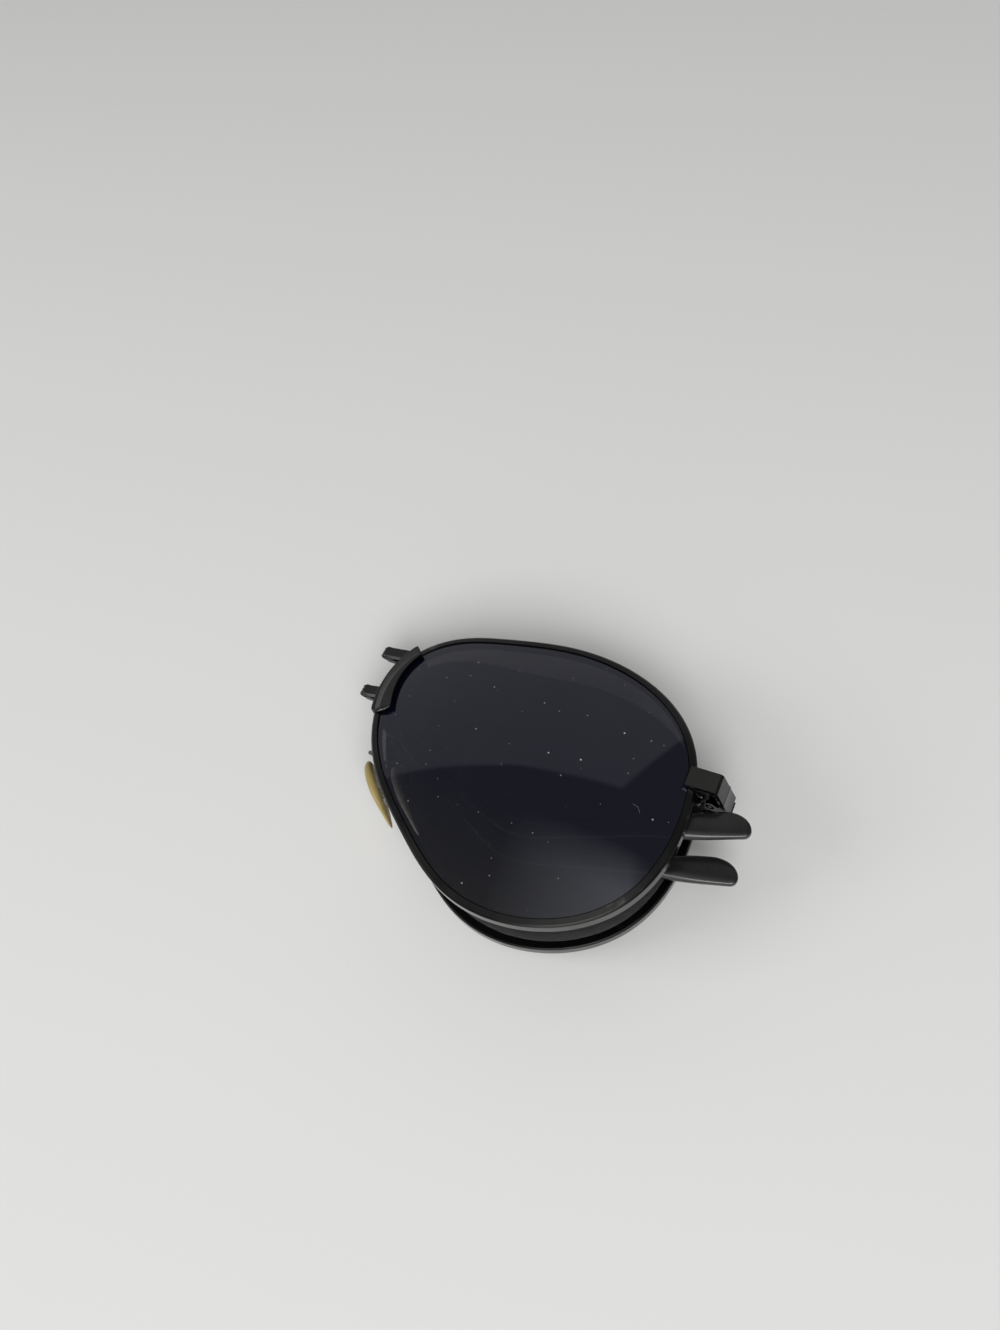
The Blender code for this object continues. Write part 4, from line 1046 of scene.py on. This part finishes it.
def build_tip(half):
    """The plastic sleeve: rounder in section at its neck, and flatter towards its end."""
    sides = 48
    last = REAR_LENGTH - TIP_PADDLE_WIDTH / 2
    rings = []
    for travel in tip_stations():
        point, heading = rear_place(half, travel)
        across = Vector((-math.sin(heading), math.cos(heading), 0))
        near, far, thickness = tip_size(travel)
        flat = 0.85 - 0.45 * ease((travel - TIP_THIN_START) / (last - TIP_THIN_START))
        ring = []
        for side in range(sides):
            angle = 2 * math.pi * side / sides
            c, s = math.cos(angle), math.sin(angle)
            u = (near + far) / 2 + (far - near) / 2 * math.copysign(abs(c) ** 0.7, c)
            w = thickness / 2 * math.copysign(abs(s) ** flat, s)
            ring.append(point + u * across + Vector((0, 0, w)))
        rings.append(ring)
    tip = make(half.name + "_tip_formed", loft(rings), half.to_row, half.body("temple_rear"),
               TIP_PLASTIC, half.node("temple_tip"), 40.0)
    # The near edge's sides are painted lighter as a highlight
    near_sides = []
    for side in range(sides):
        middle = 2 * math.pi * (side + 0.5) / sides
        if math.cos(middle) < -0.5 and 0.25 < abs(math.sin(middle)) < 0.6:
            near_sides.append(side)
    paint(tip, [ring * sides + side for ring in range(len(rings) - 1) for side in near_sides], TIP_PAINTED_HIGHLIGHT)


# Nose pads and their arms

DOWN = Vector((math.cos(PAD_SLOPE), -math.sin(PAD_SLOPE), 0))
OUT = Vector((math.sin(PAD_SLOPE), math.cos(PAD_SLOPE), 0))
PAD_SCREW_OUT = PAD_THICKNESS / 2 + CLEAR + PAD_BOX_HEIGHT / 2


def pad_point(half, down, out, depth):
    """Point given from the pad's centre: down its length, out from its face, and in depth."""
    return half.pad_centre + down * DOWN + out * OUT + Vector((0, 0, depth))


def build_pad(half):
    """A drop-shaped cushion with a rolled edge: it curls over at its top and thins towards its foot."""
    sides = 56
    roll_steps = 12
    layers = []
    for step in range(roll_steps + 1):
        turn_angle = math.pi * step / roll_steps - math.pi / 2
        layers.append((math.sin(turn_angle) * 0.5, 1 - PAD_ROLL * (1 - math.cos(turn_angle))))
    rings = []
    for share, scale in [(-0.5, 0.3), (-0.5, 0.58)] + layers + [(0.5, 0.58), (0.47, 0.40)]:
        ring = []
        for side in range(sides):
            angle = 2 * math.pi * side / sides
            down = PAD_LENGTH / 2 * math.cos(angle) * scale
            depth = PAD_WIDTH / 2 * math.sin(angle) * (1 - PAD_TAPER * math.cos(angle)) * scale
            place_along = math.cos(angle) * scale
            thinner = 1 - PAD_THINNED_BY * ease((place_along + 0.1) / 1.1)
            curl = (PAD_CURL_TOP if place_along < 0 else PAD_CURL_FOOT) * place_along ** 2
            ring.append(pad_point(half, down, share * PAD_THICKNESS * thinner + curl, depth))
        rings.append(ring)
    material = AMBER if half is LEFT else CLEAR_PAD
    make(half.name + "_pad_cushion", loft(rings), half.to_row, half.body("pad"), material,
         half.node("nose_pad"), 50.0)


def smooth_path(points, steps):
    """A smooth curve through every given point."""
    given = [Vector(p) for p in points]
    padded = [2 * given[0] - given[1]] + given + [2 * given[-1] - given[-2]]
    path = []
    for index in range(len(given) - 1):
        a, b, c, d = padded[index:index + 4]
        for step in range(steps):
            t = step / steps
            path.append(0.5 * (2 * b + (c - a) * t + (2 * a - 5 * b + 4 * c - d) * t ** 2
                               + (3 * b - a - 3 * c + d) * t ** 3))
    return path + [given[-1]]


def build_arm(half):
    """The wire arm, with a soldered foot on the rim."""
    root = outline(ARM_ROOT, RIM_OUTER - RIM_WIDTH / 2)
    root.z = rim_front(ARM_ROOT) + RIM_DEPTH - 0.1
    end = -PAD_BOX_LENGTH - 0.05
    last = pad_point(half, end, PAD_SCREW_OUT, 0)
    before = pad_point(half, -PAD_BOX_LENGTH - CLEAR - 3 * ARM_RADIUS, PAD_SCREW_OUT, 0)
    path = smooth_path([root, *half.arm_points, before, last], 10)
    across = (path[1] - path[0]).orthogonal()
    travel = 0.0
    rings = []
    for index, point in enumerate(path):
        along = (path[min(index + 1, len(path) - 1)] - path[max(index - 1, 0)]).normalized()
        across = (across - across.dot(along) * along).normalized()
        up = along.cross(across)
        if index:
            travel += (point - path[index - 1]).length
        foot = 1 + FOOT_SWELL * math.exp(-(travel / FOOT_LENGTH) ** 2)
        rings.append(circle(point, ARM_RADIUS * foot, across, up, 16))
    make(half.name + "_arm_wire", loft(rings), half.to_row, half.body(), ARM_METAL,
         half.node("pad_arm"), 50.0)


for half in (RIGHT, LEFT):
    build_rim(half)
    build_lens(half)
    build_bracket(half)
    build_screws(half)
    build_rivet(half)
    build_tip(half)
    build_pad(half)
    build_arm(half)
    for part in ("brow_bar", "lower_bridge_bar"):
        soften(half.node(part), GLOSS_METAL, 0.18, segments=4)
    # The end piece's face is painted in a lighter metal as a painted reflection, and its outward faces in
    # the darker gloss black as painted shade
    plate = soften(half.node("end_piece"), LIT_PLATE_METAL, 0.10)
    outwards = half.to_row.to_3x3().col[0].normalized()
    shaded_outer_faces = [face.index for face in plate.data.polygons if face.normal.dot(outwards) > 0.6]
    paint(plate, shaded_outer_faces, GLOSS_METAL)
    # The strips' rounded edges carry a painted highlight
    soften(half.node("temple_front"), STRIP_METAL, 0.10, edges=STRIP_PAINTED_HIGHLIGHT)
    soften(half.node("temple_rear"), STRIP_METAL, 0.06, segments=2, edges=STRIP_PAINTED_HIGHLIGHT)
    soften(half.node("pad_core"), PLATED_STEEL, 0.06, segments=2)
    soften(half.node("pad_box"), PLATED_STEEL, 0.10)
    soften(half.node("pad_screw"), PLATED_STEEL, 0.05, segments=2)
for pin in ("brow_hinge_pin", "lower_bridge_hinge_pin"):
    soften(pin, DARK_STEEL, 0.08)


# Floor, light and camera

FLOOR_COLOUR = (0.78, 0.78, 0.77)
BACKDROP_LEVEL = 0.72
FLOOR_REACH = 1.0
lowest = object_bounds()[0][2]
floor_corners = [(x * FLOOR_REACH, y * FLOOR_REACH, lowest)
                 for x, y in ((-1, -1), (1, -1), (1, 1), (-1, 1))]
floor_mesh = bpy.data.meshes.new("floor")
floor_mesh.from_pydata(floor_corners, [], [(0, 1, 2, 3)])
floor = add_object("floor", floor_mesh)
floor_material = bpy.data.materials.new("floor")
floor_material.use_nodes = True
floor_shader = floor_material.node_tree.nodes["Principled BSDF"]
floor_shader.inputs["Base Color"].default_value = (*FLOOR_COLOUR, 1.0)
floor_shader.inputs["Roughness"].default_value = 0.85
floor_shader.inputs["Specular IOR Level"].default_value = 0.1
floor_mesh.materials.append(floor_material)

# The sky is drawn as a level plane overhead, on which u and v are x and y over z. The upper lens
# mirrors two brighter panels in it. The upper panel lies beyond a tilted line in v and to one side of a
# slanting one. The lower panel lies short of a slanting line and of a line in v, and is graded along u.
SKY_LEVEL = 0.16
HORIZON = 0.02
UPPER_LEVEL = 0.24
UPPER_TILT = 0.14
UPPER_FROM = 0.43
SIDE_TILT = 0.353
SIDE_FROM = 0.052
UPPER_SOFTNESS = 0.012
LOWER_LEVEL = 0.95
LOWER_TILT = 0.38
LOWER_TO = 0.37
LOWER_SOFTNESS = 0.06
LOWER_TOP = 0.08
LOWER_TOP_SOFTNESS = 0.10
LOWER_GRADE_FROM = -0.30
LOWER_GRADE_TO = 0.27

world = bpy.data.worlds.new("studio")
bpy.context.scene.world = world
world.use_nodes = True
sky = Nodes(world.node_tree)
background = world.node_tree.nodes["Background"]
direction = sky.add("ShaderNodeTexCoord").outputs["Generated"]
axes = sky.add("ShaderNodeSeparateXYZ")
sky.link(direction, axes.inputs[0])
rise = sky.math("MAXIMUM", axes.outputs["Z"], HORIZON)
u = sky.math("DIVIDE", axes.outputs["X"], rise)
v = sky.math("DIVIDE", axes.outputs["Y"], rise)


def edge(value, at, softness):
    """0 below a line and 1 above it, with a soft step."""
    return sky.span(value, at - softness, at + softness, 0.0, 1.0)


upper_line = sky.math("SUBTRACT", v, sky.math("MULTIPLY", u, UPPER_TILT))
side_line = sky.math("SUBTRACT", sky.math("MULTIPLY", v, SIDE_TILT), u)
upper_panel = sky.math("MULTIPLY", edge(upper_line, UPPER_FROM, UPPER_SOFTNESS),
                       edge(side_line, SIDE_FROM, UPPER_SOFTNESS))
lower_line = sky.math("ADD", u, sky.math("MULTIPLY", v, LOWER_TILT))
low_side = sky.math("SUBTRACT", 1.0, edge(lower_line, LOWER_TO, LOWER_SOFTNESS))
low_top = sky.math("SUBTRACT", 1.0, edge(v, LOWER_TOP, LOWER_TOP_SOFTNESS))
lower_panel = sky.math("MULTIPLY", sky.math("MULTIPLY", low_side, low_top),
                       sky.span(u, LOWER_GRADE_FROM, LOWER_GRADE_TO, 0.0, 1.0))
panels = sky.math("ADD", sky.math("MULTIPLY", upper_panel, UPPER_LEVEL),
                  sky.math("MULTIPLY", lower_panel, LOWER_LEVEL))
level = sky.math("ADD", panels, SKY_LEVEL)
seen = sky.add("ShaderNodeLightPath").outputs["Is Camera Ray"]
plain = sky.math("ADD", sky.math("MULTIPLY", level, sky.math("SUBTRACT", 1.0, seen)),
                 sky.math("MULTIPLY", seen, BACKDROP_LEVEL))
sky.link(plain, background.inputs["Strength"])
background.inputs["Color"].default_value = (1.0, 1.0, 1.0, 1.0)


LAMP_AIM = Vector((0.0, 0.0, 0.01))


def lamp(name, place, size, power):
    data = bpy.data.lights.new(name, "AREA")
    data.shape = "RECTANGLE"
    data.size, data.size_y = size
    data.energy = power
    light = add_object(name, data)
    light.location = place
    light.rotation_euler = (LAMP_AIM - Vector(place)).to_track_quat("-Z", "Y").to_euler()


lamp("key", (0.35, -0.5, 0.6), size=(0.5, 0.4), power=4.4)
lamp("fill", (-0.6, -0.35, 0.45), size=(0.4, 0.4), power=2.0)

# The camera's axes and place come from its fit to the photographed rims
CAMERA_RIGHT = (0.90036, 0.40942, -0.14738)
CAMERA_UP = (-0.28206, 0.80703, 0.51879)
CAMERA_BACK = (0.33135, -0.42552, 0.8421)
CAMERA_PLACE = (0.0462, -0.05722, 0.16436)
camera_data = bpy.data.cameras.new("camera")
camera_data.lens = 27.01
camera_data.sensor_width = 36.0
camera_data.clip_start = 0.001
camera = add_object("camera", camera_data)
bpy.context.scene.camera = camera
columns = (CAMERA_RIGHT, CAMERA_UP, CAMERA_BACK, CAMERA_PLACE)
camera.matrix_world = Matrix([[column[row] for column in columns] for row in range(3)] + [[0, 0, 0, 1]])

bpy.context.scene.view_settings.view_transform = "Standard"
